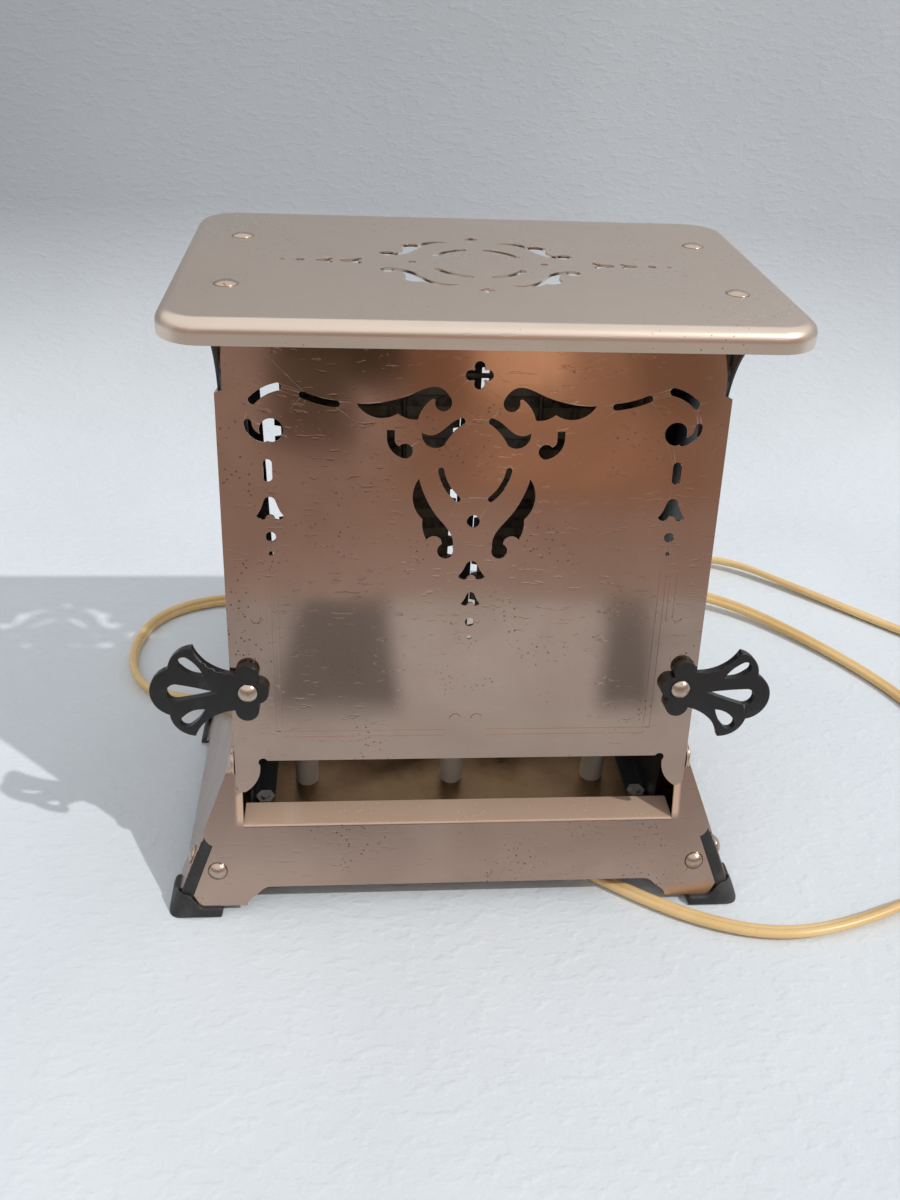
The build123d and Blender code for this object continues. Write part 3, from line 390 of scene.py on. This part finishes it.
def porcelain_glaze():
    material, tree, shader = new_material("porcelain", Coat_Weight=0.5, Coat_Roughness=0.12)
    vector = object_coordinates(tree)
    stain = remap(tree, noise(tree, vector, 70.0, 5.0), 0.42, 0.72)
    tree.links.new(blend_colours(tree, stain, (0.80, 0.74, 0.63), (0.58, 0.48, 0.35)),
                   shader.inputs["Base Color"])
    tree.links.new(remap(tree, stain, 0, 1, 0.25, 0.5), shader.inputs["Roughness"])
    bump(tree, shader, noise(tree, vector, 200.0), 0.12, 0.1)
    return material


def cord_cover():
    """Yellowed vinyl: translucent gold, dirtier in patches, slightly waxy."""
    material, tree, shader = new_material("golden vinyl", Subsurface_Weight=0.12,
                                          Coat_Weight=0.15, Coat_Roughness=0.3)
    shader.inputs["Subsurface Radius"].default_value = (0.004, 0.0022, 0.0008)
    vector = object_coordinates(tree)
    tone = remap(tree, noise(tree, vector, 24.0, 4.0), 0.35, 0.68)
    base = blend_colours(tree, tone, (0.72, 0.47, 0.185), (0.86, 0.62, 0.30))
    dirt = remap(tree, noise(tree, vector, 260.0, 5.0, 0.7), 0.60, 0.78)
    tree.links.new(blend_colours(tree, multiply(tree, dirt, 0.55), base, (0.36, 0.22, 0.09)),
                   shader.inputs["Base Color"])
    tree.links.new(remap(tree, dirt, 0, 1, 0.34, 0.55), shader.inputs["Roughness"])
    bump(tree, shader, noise(tree, vector, 320.0, 3.0), 0.15, 0.15)
    return material


def moulded_plug():
    material, tree, shader = new_material("plug moulding", Coat_Weight=0.2, Coat_Roughness=0.25)
    vector = object_coordinates(tree)
    tone = remap(tree, noise(tree, vector, 40.0, 4.0), 0.35, 0.68)
    tree.links.new(blend_colours(tree, tone, (0.66, 0.43, 0.18), (0.76, 0.53, 0.25)),
                   shader.inputs["Base Color"])
    tree.links.new(remap(tree, tone, 0, 1, 0.32, 0.45), shader.inputs["Roughness"])
    bump(tree, shader, noise(tree, vector, 380.0, 3.0), 0.2, 0.12)
    return material


def glass_sleeve():
    """Woven sleeving on the inner wires: fine crossed threads."""
    material, tree, shader = new_material("woven sleeving", Roughness=0.85, Sheen_Weight=0.2)
    weave = add(tree, "ShaderNodeTexWave", wave_type="BANDS", bands_direction="DIAGONAL",
                in_Scale=900.0, in_Distortion=1.5)
    tree.links.new(object_coordinates(tree), weave.inputs["Vector"])
    tree.links.new(blend_colours(tree, weave.outputs["Fac"], (0.50, 0.44, 0.34), (0.72, 0.66, 0.54)),
                   shader.inputs["Base Color"])
    bump(tree, shader, weave.outputs["Fac"], 0.4, 0.15)
    return material


DOOR_NICKEL = nickel("door nickel", (0.57, 0.425, 0.345), (0.49, 0.355, 0.285), (0.90, 0.87, 0.85), 0.055)
# painted shade: the base's nickel is darker all over than the doors'; its smudges, pits and ledge film are
# wear
BASE_NICKEL_PAINTED_SHADE = nickel("base nickel", (0.52, 0.385, 0.315), (0.45, 0.325, 0.265), (0.92, 0.90, 0.88), 0.19,
                     dulled=True)
# painted light: the plate's nickel is paler all over than the doors', as its upward face looks lit
PLATE_NICKEL_PAINTED_LIGHT = nickel("plate nickel", (0.74, 0.615, 0.515), (0.68, 0.555, 0.46), (0.97, 0.96, 0.95), 0.27,
                      pit_amount=0.12)
RIVET_NICKEL = nickel("rivet nickel", (0.58, 0.47, 0.39), (0.46, 0.36, 0.29), (0.93, 0.92, 0.90), 0.22,
                      smudge_scale=160.0)
SCREW_STEEL = oxidised("screw steel", (0.34, 0.31, 0.28), (0.58, 0.55, 0.50), 0.32, 1.0)
TRAY_STEEL = oxidised("tray steel", (0.21, 0.125, 0.066), (0.35, 0.225, 0.125), 0.26, 0.9, 60.0)
BLACK_STEEL = satin_black("black enamel", (0.012, 0.012, 0.012), (0.05, 0.046, 0.04), 0.38)
BLACK_MOULDING = satin_black("black moulding", (0.011, 0.0108, 0.0105), (0.040, 0.039, 0.037), 0.38)
FOOT_RUBBER = satin_black("foot moulding", (0.022, 0.022, 0.023), (0.060, 0.060, 0.062), 0.50, 300.0, 0.5)
MICA = mica_sheet()
RIBBON = oxidised("ribbon", (0.10, 0.085, 0.070), (0.26, 0.225, 0.185), 0.35, 0.9, 500.0)
GUARD_STEEL = oxidised("guard wire", (0.07, 0.06, 0.05), (0.20, 0.17, 0.14), 0.38, 0.9, 300.0)
PORCELAIN = porcelain_glaze()
BRASS = oxidised("brass", (0.55, 0.38, 0.15), (0.78, 0.60, 0.29), 0.24, 1.0, 180.0)
SLEEVE = glass_sleeve()
FIBRE = satin_black("fibre bushing", (0.085, 0.040, 0.022), (0.16, 0.09, 0.05), 0.55)
VINYL = cord_cover()
PLUG = moulded_plug()


# ---------------------------------------------------------------- plated and black pieces
def plated_pieces():
    for node, edge, material in (
        ("top_plate", PLATE_EDGE, PLATE_NICKEL_PAINTED_LIGHT),
        ("base_shell", BASE_EDGE, BASE_NICKEL_PAINTED_SHADE),
        ("front_door", DOOR_EDGE, DOOR_NICKEL),
        ("rear_door", DOOR_EDGE, DOOR_NICKEL),
    ):
        coat(finished_copy(node, f"{node}_finish", edge), material)


def press_down(piece, level, share):
    """Lowers what stands above a level to this share of its height."""
    for corner in piece.data.vertices:
        if corner.co.z > level * MM:
            corner.co.z = level * MM + (corner.co.z - level * MM) * share


def rivets_and_pins():
    for node in ("top_plate_rivets", "foot_rivets", "front_handle_rivets", "rear_handle_rivet",
                 "hinge_pins_front", "hinge_pins_rear"):
        piece = finished_copy(node, f"{node}_finish", angle=50)
        if node == "top_plate_rivets":
            press_down(piece, PLATE_TOP, RIVET_SHARE)
        coat(piece, RIVET_NICKEL)


def rounded_foot(node):
    """A moulded foot: its corner is round and its toe rises a little round the corner of the base."""
    foot = finished_copy(node, f"{node}_finish")
    remesh = foot.modifiers.new("even", "REMESH")
    remesh.mode = "VOXEL"
    remesh.voxel_size = FOOT_GRAIN * MM
    apply_modifiers(foot)
    for corner in foot.data.vertices:
        x, y, z = corner.co / MM
        along, deep = abs(x), abs(y)
        past_x = along - BASE_HALF_LENGTH + END_SLOPE * z
        past_y = deep - BASE_HALF_DEPTH + APRON_SLOPE * z
        near = step_between(min(past_x, past_y), -9.0, -2.0)
        outside = step_between(max(past_x, past_y), 0.1, 0.4)
        lift = TOE_RISE * near * outside * step_between(z, 1.0, 2.4)
        z += lift
        along -= END_SLOPE * lift
        deep -= APRON_SLOPE * lift
        round_x = past_x + FOOT_CORNER
        round_y = past_y + FOOT_CORNER
        if round_x > 0 and round_y > 0:
            far = math.hypot(round_x, round_y)
            share = min(1.0, (FOOT_CORNER + FOOT_LIP) / far)
            along -= round_x * (1 - share)
            deep -= round_y * (1 - share)
        corner.co = mm(math.copysign(along, x), math.copysign(deep, y), z)
    soften = foot.modifiers.new("round", "SMOOTH")
    soften.factor = 0.6
    soften.iterations = FOOT_SOFTENING
    apply_modifiers(foot)
    smooth(foot, 180)
    return foot


def black_pieces():
    for side in ("left", "right"):
        frame_piece = finished_copy(f"end_frame_{side}", f"end_frame_{side}_finish", FRAME_EDGE)
        coat(frame_piece, BLACK_STEEL)
        for end in ("front", "rear"):
            coat(rounded_foot(f"foot_{end}_{side}"), FOOT_RUBBER)
    for node in ("front_handle_left", "front_handle_right", "rear_handle"):
        coat(finished_copy(node, f"{node}_finish"), BLACK_MOULDING)


def inner_pieces():
    for node, material, slot in (
        ("base_tray", TRAY_STEEL, "tray_steel"),
        ("frame_screws", SCREW_STEEL, "screw_steel"),
        ("insulator_screws", SCREW_STEEL, "screw_steel"),
        ("element_rail_bottom", BLACK_STEEL, "black_steel"),
        ("element_rail_top", BLACK_STEEL, "black_steel"),
        ("centre_post", BLACK_STEEL, "black_steel"),
        ("mica_card_left", MICA, "mica"),
        ("mica_card_right", MICA, "mica"),
        ("ribbon_left", RIBBON, "ribbon"),
        ("ribbon_right", RIBBON, "ribbon"),
        ("terminal_block", PORCELAIN, "porcelain"),
        ("terminal_screws", BRASS, "terminal_brass"),
        ("supply_leads", SLEEVE, "sleeving"),
    ):
        coat(nodes[node], material)
    for node, material, slot in (
        ("insulators", PORCELAIN, "porcelain"),
        ("bread_guard_front", GUARD_STEEL, "guard_steel"),
        ("bread_guard_rear", GUARD_STEEL, "guard_steel"),
        ("lead_wires", SLEEVE, "sleeving"),
        ("cord_bushing", FIBRE, "fibre"),
        ("plug_body", PLUG, "plug_moulding"),
        ("plug_pins", BRASS, "terminal_brass"),
    ):
        coat(finished_copy(node, f"{node}_finish"), material)


# ---------------------------------------------------------------- cord
# Each point of the route: x, y, z in millimetres, and how far the flat twin cord is turned there
# from lying flat, in degrees.
CORD_ROUTE = [
    (46.0, 37.4, 19.3, 0), (46.0, 50.7, 23.6, 0), (48.0, 67.0, 17.6, 10), (54.0, 81.0, 6.4, 25),
    (68.0, 101.0, 2.2, 40), (82.0, 128.0, 2.4, 55), (101.0, 152.0, 2.6, 75),
    (124.0, 165.0, 3.4, 70), (149.0, 162.0, 4.4, 45), (174.0, 141.5, 2.6, 20), (204.0, 113.0, 1.7, 5),
    (236.0, 82.0, 1.9, 15), (253.0, 51.0, 2.5, 60), (246.0, 22.0, 2.6, 80),
    (219.0, 12.0, 2.5, 60), (200.0, 32.0, 2.0, 20), (190.0, 63.0, 1.7, 5),
    (168.0, 95.0, 2.4, 10), (141.0, 122.0, 4.2, 30), (112.0, 131.5, 7.4, 40), (84.0, 131.0, 7.7, 40),
    (56.0, 127.0, 4.4, 30), (26.0, 124.5, 2.0, 20), (-12.0, 124.0, 2.0, 20),
    (-54.0, 130.5, 2.1, 30), (-94.0, 132.0, 2.4, 50), (-121.0, 118.0, 2.6, 75),
    (-128.0, 89.0, 2.6, 80), (-119.0, 64.0, 2.6, 75), (-96.0, 57.0, 2.4, 50),
    (-64.0, 56.0, 2.0, 20), (-36.0, 38.0, 1.8, 10), (-6.0, 10.0, 1.7, 5),
    (24.0, -20.0, 1.7, 5), (52.0, -42.5, 1.7, 5), (76.0, -57.5, 1.8, 8),
    (101.0, -64.5, 1.9, 15), (127.0, -60.5, 2.1, 30), (155.0, -50.0, 2.5, 60),
    (182.0, -48.4, 2.6, 85),
]
TAIL_ROUTE = [
    (230.0, -95.5, 11.6, 70), (237.0, -111.0, 9.6, 30), (249.0, -123.5, 8.5, 0), (263.0, -131.0, 8.5, 0),
]
COIL_MIDDLE = (199.0, -78.0)
COIL_RADII = (25.7, 30.3)      # of its inner and outer turns
COIL_ROWS = (2.6, 7.7, 12.6)   # heights of the turns that lie on each other
COIL_TURNED = 1530             # degrees, from the run that comes in to the tail
COIL_STEP = 22.5


def step_between(value, low, high):
    """0 up to low, 1 from high on, and smooth between them."""
    share = min(max((value - low) / (high - low), 0.0), 1.0)
    return share * share * (3 - 2 * share)


def coil_points():
    """Turns wound clockwise: outer and inner on the table, then inner and outer on top of them."""
    inner, outer = COIL_RADII
    points = []
    for number in range(int(COIL_TURNED / COIL_STEP) + 1):
        turned = number * COIL_STEP
        inwards = step_between(turned, 300, 360) - step_between(turned, 900, 960)
        radius = outer - (outer - inner) * inwards
        radius += 0.35 * math.sin(math.radians(1.37 * turned + 40)) + 0.0006 * turned
        height = COIL_ROWS[0] + (COIL_ROWS[1] - COIL_ROWS[0]) * step_between(turned, 600, 660)
        height += (COIL_ROWS[2] - COIL_ROWS[1]) * step_between(turned, 1200, 1260)
        angle = math.radians(90 - turned)
        points.append((COIL_MIDDLE[0] + radius * math.cos(angle),
                       COIL_MIDDLE[1] + radius * math.sin(angle), height, 90))
    return points


def spline_points(controls):
    """The points of one smooth open curve that has these control points, in metres."""
    data = bpy.data.curves.new("line", "CURVE")
    data.dimensions = "3D"
    data.resolution_u = 10
    spline = data.splines.new("NURBS")
    spline.points.add(len(controls) - 1)
    for knot, point in zip(spline.points, controls):
        knot.co = (*point, 1)
    spline.order_u = 3
    spline.use_endpoint_u = True
    line = bpy.data.objects.new("line", data)
    mesh = bpy.data.meshes.new_from_object(line)
    points = [vertex.co.copy() for vertex in mesh.vertices]
    bpy.data.meshes.remove(mesh)
    bpy.data.objects.remove(line)
    bpy.data.curves.remove(data)
    return points


def twin_section():
    """The flat cord's outline: two round cores side by side with a groove on each side between them."""
    core = CORD_THICKNESS / 2
    spread = CORD_WIDTH / 2 - core
    limit = math.acos(-spread / core)
    steps = 10
    half = []
    for number in range(steps):
        angle = -limit + 2 * limit * number / steps
        half.append((spread + core * math.cos(angle), core * math.sin(angle)))
    return half + [(-across, -up) for across, up in half]


def swept_mesh(name, path, turns, section_at):
    """A closed skin round a path: section_at gives the outline at each point, turned by its angle."""
    shape = bmesh.new()
    rings = []
    for number, place in enumerate(path):
        ahead = path[min(number + 1, len(path) - 1)] - path[max(number - 1, 0)]
        ahead.normalize()
        side = ahead.cross(Vector((0, 0, 1))).normalized()
        up = side.cross(ahead)
        turn = math.radians(turns[number])
        wide = side * math.cos(turn) + up * math.sin(turn)
        thin = up * math.cos(turn) - side * math.sin(turn)
        rings.append([shape.verts.new(place + wide * across * MM + thin * high * MM)
                      for across, high in section_at(number)])
    for first, second in zip(rings, rings[1:]):
        for k in range(len(first)):
            n = (k + 1) % len(first)
            shape.faces.new((first[k], first[n], second[n], second[k]))
    shape.faces.new(rings[0][::-1])
    shape.faces.new(rings[-1])
    bmesh.ops.recalc_face_normals(shape, faces=shape.faces)
    mesh = bpy.data.meshes.new(name)
    shape.to_mesh(mesh)
    shape.free()
    piece = bpy.data.objects.new(name, mesh)
    bpy.context.scene.collection.objects.link(piece)
    return piece


def plug_relief(path, turns):
    """The ribbed, tapered sleeve that the cord enters the plug through."""
    length = 0.0
    count = len(path) - 1
    while length < RELIEF_LENGTH * MM:
        length += (path[count] - path[count - 1]).length
        count -= 1
    run = path[count:]

    def section(number):
        share = number / (len(run) - 1)
        swell = 1.0 + 0.10 * math.sin(share * 34.0)
        wide = (3.3 + 2.4 * share) * swell
        high = (2.5 + 2.1 * share) * swell
        return [(wide * math.cos(math.radians(a)), high * math.sin(math.radians(a)))
                for a in range(0, 360, 15)]

    relief = swept_mesh("plug_relief", run, turns[count:], section)
    smooth(relief, 50)
    coat(relief, PLUG)
    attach(relief, nodes["plug_body"]["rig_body"])
    return relief


def twin_cord():
    controls = CORD_ROUTE + coil_points() + TAIL_ROUTE
    path = spline_points([mm(*point[:3]) for point in controls])
    turns = [point.x for point in spline_points([(point[3], 0, 0) for point in controls])]
    section = twin_section()
    piece = swept_mesh("twin_cord", path, turns, lambda number: section)
    smooth(piece, 40)
    coat(piece, VINYL)
    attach(piece, nodes["cord"]["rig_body"])
    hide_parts("cord", "cord_coil", "cord_tail")
    relief = plug_relief(path, turns)


# ---------------------------------------------------------------- floor, lamp and camera
# The cloth, in metres: its front edge, where it begins to rise, the radius of its bend, how steep it
# gets in degrees, its width and its length from front to back.
CLOTH_FRONT = -0.49
CLOTH_RISE = 0.205
CLOTH_BEND = 0.16
CLOTH_STEEP = 74
CLOTH_WIDTH = 3.0
CLOTH_LENGTH = 1.27
CLOTH_DROP = 0.0002          # how far the cloth lies under the feet
CLOTH_STEPS = 160            # squares of its mesh on each side
HUNG_CLOTH_PAINTED_SHADE = (0.16, 0.18, 0.20)   # painted shade of the part that hangs

# Soft shapes of the room in front: left, right, low and high in degrees, edge in degrees, colour.
ROOM_SHAPES = [
    (-70.0, 70.0, -13.0, 26.0, 6.0, (0.46, 0.355, 0.315)),
    (1.6, 19.0, -7.5, 2.6, 1.6, (0.40, 0.245, 0.175)),
    (5.8, 15.4, -6.6, 6.0, 0.8, (0.52, 0.31, 0.205)),
    (6.0, 10.6, -1.6, 8.0, 0.8, (0.98, 0.62, 0.40)),
    (-4.9, 2.3, -1.4, 9.0, 0.35, (0.075, 0.055, 0.037)),
    (-4.9, -0.6, -4.6, 0.0, 0.5, (0.14, 0.102, 0.074)),
    (2.5, 5.6, -2.6, 9.0, 0.5, (0.31, 0.165, 0.10)),
    (14.0, 18.5, -2.6, 9.0, 0.8, (0.30, 0.185, 0.12)),
]
ROOM_STRENGTH = 0.92
BACKDROP = (0.50, 0.54, 0.58)

# The lamp: the way towards it, its strength, its width in radians and its colour.
LAMP_WAY = (0.596, -0.388, 0.702)
LAMP_STRENGTH = 1.65
LAMP_SPREAD = 0.014
LAMP_COLOUR = (1.0, 0.985, 0.96)

# The camera: its place in millimetres, its angles in degrees and how long its lens is.
CAMERA_PLACE = (-30.03, -282.89, 270.64)
CAMERA_YAW = 5.423
CAMERA_PITCH = 32.928
CAMERA_ROLL = 2.809
FOCAL_PIXELS = 1073.32
PICTURE_HEIGHT = 1200
SENSOR = 36.0


def cloth_line(run):
    """Where the cloth is after this run from its front edge: flat, then rising in one sweep."""
    flat = CLOTH_RISE - CLOTH_FRONT
    if run < flat:
        return CLOTH_FRONT + run, 0.0
    steepest = math.radians(CLOTH_STEEP)
    angle = min((run - flat) / CLOTH_BEND, steepest)
    past = max(run - flat - CLOTH_BEND * steepest, 0.0)
    back = CLOTH_RISE + CLOTH_BEND * math.sin(angle) + past * math.cos(steepest)
    return back, CLOTH_BEND * (1 - math.cos(angle)) + past * math.sin(steepest)


def fold(across, run):
    """Soft folds of the hung part of the cloth, in metres."""
    long_fold = math.sin(7.5 * across + 1.4 * math.sin(5.0 * run) + 0.7)
    short_fold = math.sin(19.0 * across - 8.0 * run + 1.0)
    cross_fold = math.sin(11.0 * run + 3.0 * across)
    return 0.012 * long_fold + 0.004 * short_fold + 0.004 * cross_fold


def cloth_front_painted_shade(tree, x, y):
    """How light the front of the cloth looks in the metal: painted shade, with one painted lit strip that
    widens.
    """
    slant = calculate(tree, "MULTIPLY_ADD", y, 0.25, x)
    lit = multiply(tree, remap(tree, x, -0.017, -0.007), remap(tree, slant, 0.032, 0.022))
    shade = remap(tree, lit, 0, 1, 0.24, 0.78)
    shade = mix_numbers(tree, remap(tree, x, -0.070, -0.084), shade, 0.60)
    shade = mix_numbers(tree, remap(tree, slant, 0.050, 0.062), shade, 0.62)
    shade = mix_numbers(tree, remap(tree, y, -0.225, -0.265), 0.74, shade)
    shade = mix_numbers(tree, remap(tree, y, -0.11, -0.16), 1.0, shade)
    rays = add(tree, "ShaderNodeLightPath")
    return mix_numbers(tree, rays.outputs["Is Glossy Ray"], 1.0, shade)


def fleece():
    """Pale blue-grey fleece with painted shade where it hangs, darker towards the left, and painted shade on
    its front that only the metal sees; cameras behind it see through it.
    """
    material, tree, shader = new_material("fleece", Roughness=1.0, Sheen_Weight=0.15, Specular_IOR_Level=0.2)
    vector = object_coordinates(tree)
    x, y, z = split_xyz(tree, vector)
    tone = remap(tree, noise(tree, vector, 6.0, 4.0), 0.35, 0.68)
    colour = blend_colours(tree, tone, (0.69, 0.735, 0.775), (0.755, 0.80, 0.84))
    # painted shade on the front of the cloth, seen only in reflections
    colour = blend_colours(tree, cloth_front_painted_shade(tree, x, y), (0.0, 0.0, 0.0), colour)
    # painted shade: darker up the hung part and towards the left
    hung = remap(tree, z, 0.0, 0.12)
    leftward = remap(tree, x, 0.12, -0.25)
    shaded = multiply(tree, hung, remap(tree, leftward, 0, 1, 0.36, 0.66))
    colour = blend_colours(tree, shaded, colour, HUNG_CLOTH_PAINTED_SHADE)
    tree.links.new(colour, shader.inputs["Base Color"])
    fuzz = multiply(tree, noise(tree, vector, 520.0, 5.0, 0.75), 0.55)
    stretched = object_coordinates(tree, (1.0, 1.6, 2.2))
    dashes = remap(tree, noise(tree, stretched, 150.0, 2.0, 0.5), 0.50, 0.66)
    nap = calculate(tree, "ADD", fuzz, multiply(tree, dashes, 0.45))
    bump(tree, shader, nap, 0.34, 1.1)
    rays = add(tree, "ShaderNodeLightPath")
    side = add(tree, "ShaderNodeNewGeometry")
    unseen = multiply(tree, rays.outputs["Is Camera Ray"], side.outputs["Backfacing"])
    clear = add(tree, "ShaderNodeBsdfTransparent")
    mix_shaders(tree, unseen, shader, clear, tree.nodes["Material Output"])
    return material


def floor_cloth():
    """A pale fleece cloth that lies on the table and rises behind in one sweep, with soft folds."""
    bpy.ops.mesh.primitive_grid_add(x_subdivisions=CLOTH_STEPS, y_subdivisions=CLOTH_STEPS, size=1)
    floor = bpy.context.object
    floor.name = "floor"
    for corner in floor.data.vertices:
        across = corner.co.x * CLOTH_WIDTH
        run = (corner.co.y + 0.5) * CLOTH_LENGTH
        back, up = cloth_line(run)
        lift = fold(across, run) * step_between(back, CLOTH_RISE + 0.02, CLOTH_RISE + 0.14)
        corner.co = (across, back - lift, up - CLOTH_DROP)
    smooth(floor, 180)
    floor.data.materials.append(fleece())


def bearing(tree, vector):
    """Degrees to the right of straight ahead in front of the toaster, and degrees up."""
    x, y, z = split_xyz(tree, vector)
    aside = calculate(tree, "ARCTAN2", x, multiply(tree, y, -1.0))
    squares = calculate(tree, "ADD", multiply(tree, x, x), multiply(tree, y, y))
    upward = calculate(tree, "ARCTAN2", z, calculate(tree, "SQRT", squares))
    return multiply(tree, aside, math.degrees(1)), multiply(tree, upward, math.degrees(1))


def soft_band(tree, value, low, high, edge):
    """1 between low and high, falling softly to 0 outside."""
    return multiply(tree, remap(tree, value, low - edge, low + edge),
                    remap(tree, value, high + edge, high - edge))


def soft_patch(tree, aside, upward, sides, edge):
    """1 inside a soft-edged shape between its left, right, low and high sides, all in degrees."""
    left, right, low, high = sides
    return multiply(tree, soft_band(tree, aside, left, right, edge),
                    soft_band(tree, upward, low, high, edge * 0.6))


def room_light():
    """A bright room with a darker, browner wall in front, and a plain backdrop for the camera."""
    world = bpy.data.worlds.new("room")
    bpy.context.scene.world = world
    world.use_nodes = True
    tree = world.node_tree
    tree.nodes.clear()
    out = add(tree, "ShaderNodeOutputWorld")
    place = add(tree, "ShaderNodeTexCoord")
    aside, upward = bearing(tree, place.outputs["Generated"])
    rise = remap(tree, upward, 12.0, 50.0)
    colour = blend_colours(tree, rise, (0.60, 0.60, 0.60), (0.88, 0.90, 0.92))
    for *sides, edge, tint in ROOM_SHAPES:
        inside = soft_patch(tree, aside, upward, sides, edge)
        colour = blend_colours(tree, inside, colour, tint)
    rays = add(tree, "ShaderNodeLightPath")
    gleam = multiply(tree, rays.outputs["Is Glossy Ray"], remap(tree, upward, 18.0, 34.0))
    colour = blend_colours(tree, gleam, colour, (1.12, 1.14, 1.16))
    room = add(tree, "ShaderNodeBackground")
    tree.links.new(colour, room.inputs["Color"])
    room.inputs["Strength"].default_value = ROOM_STRENGTH
    backdrop = add(tree, "ShaderNodeBackground")
    backdrop.inputs["Color"].default_value = (*BACKDROP, 1)
    mix_shaders(tree, rays.outputs["Is Camera Ray"], room, backdrop, out)


def key_lamp():
    """One small, far lamp from the front right."""
    data = bpy.data.lights.new("lamp", "SUN")
    data.energy = LAMP_STRENGTH
    data.angle = LAMP_SPREAD
    data.color = LAMP_COLOUR
    lamp = bpy.data.objects.new("lamp", data)
    bpy.context.scene.collection.objects.link(lamp)
    lamp.location = Vector(LAMP_WAY) * 1.5
    lamp.rotation_mode = "QUATERNION"
    lamp.rotation_quaternion = Vector(LAMP_WAY).to_track_quat("Z", "Y")


def camera():
    yaw, pitch = math.radians(CAMERA_YAW), math.radians(CAMERA_PITCH)
    ahead = Vector((math.sin(yaw) * math.cos(pitch), math.cos(yaw) * math.cos(pitch), -math.sin(pitch)))
    data = bpy.data.cameras.new("camera")
    data.sensor_width = SENSOR
    data.lens = FOCAL_PIXELS / PICTURE_HEIGHT * SENSOR
    data.clip_start = 0.01
    data.clip_end = 20
    eye = bpy.data.objects.new("camera", data)
    bpy.context.scene.collection.objects.link(eye)
    eye.location = mm(*CAMERA_PLACE)
    eye.rotation_mode = "QUATERNION"
    roll = Quaternion((0, 0, 1), math.radians(CAMERA_ROLL))
    eye.rotation_quaternion = ahead.to_track_quat("-Z", "Y") @ roll
    bpy.context.scene.camera = eye


plated_pieces()
rivets_and_pins()
black_pieces()
inner_pieces()
twin_cord()
floor_cloth()
room_light()
key_lamp()
camera()
bpy.context.scene.view_settings.view_transform = "Standard"
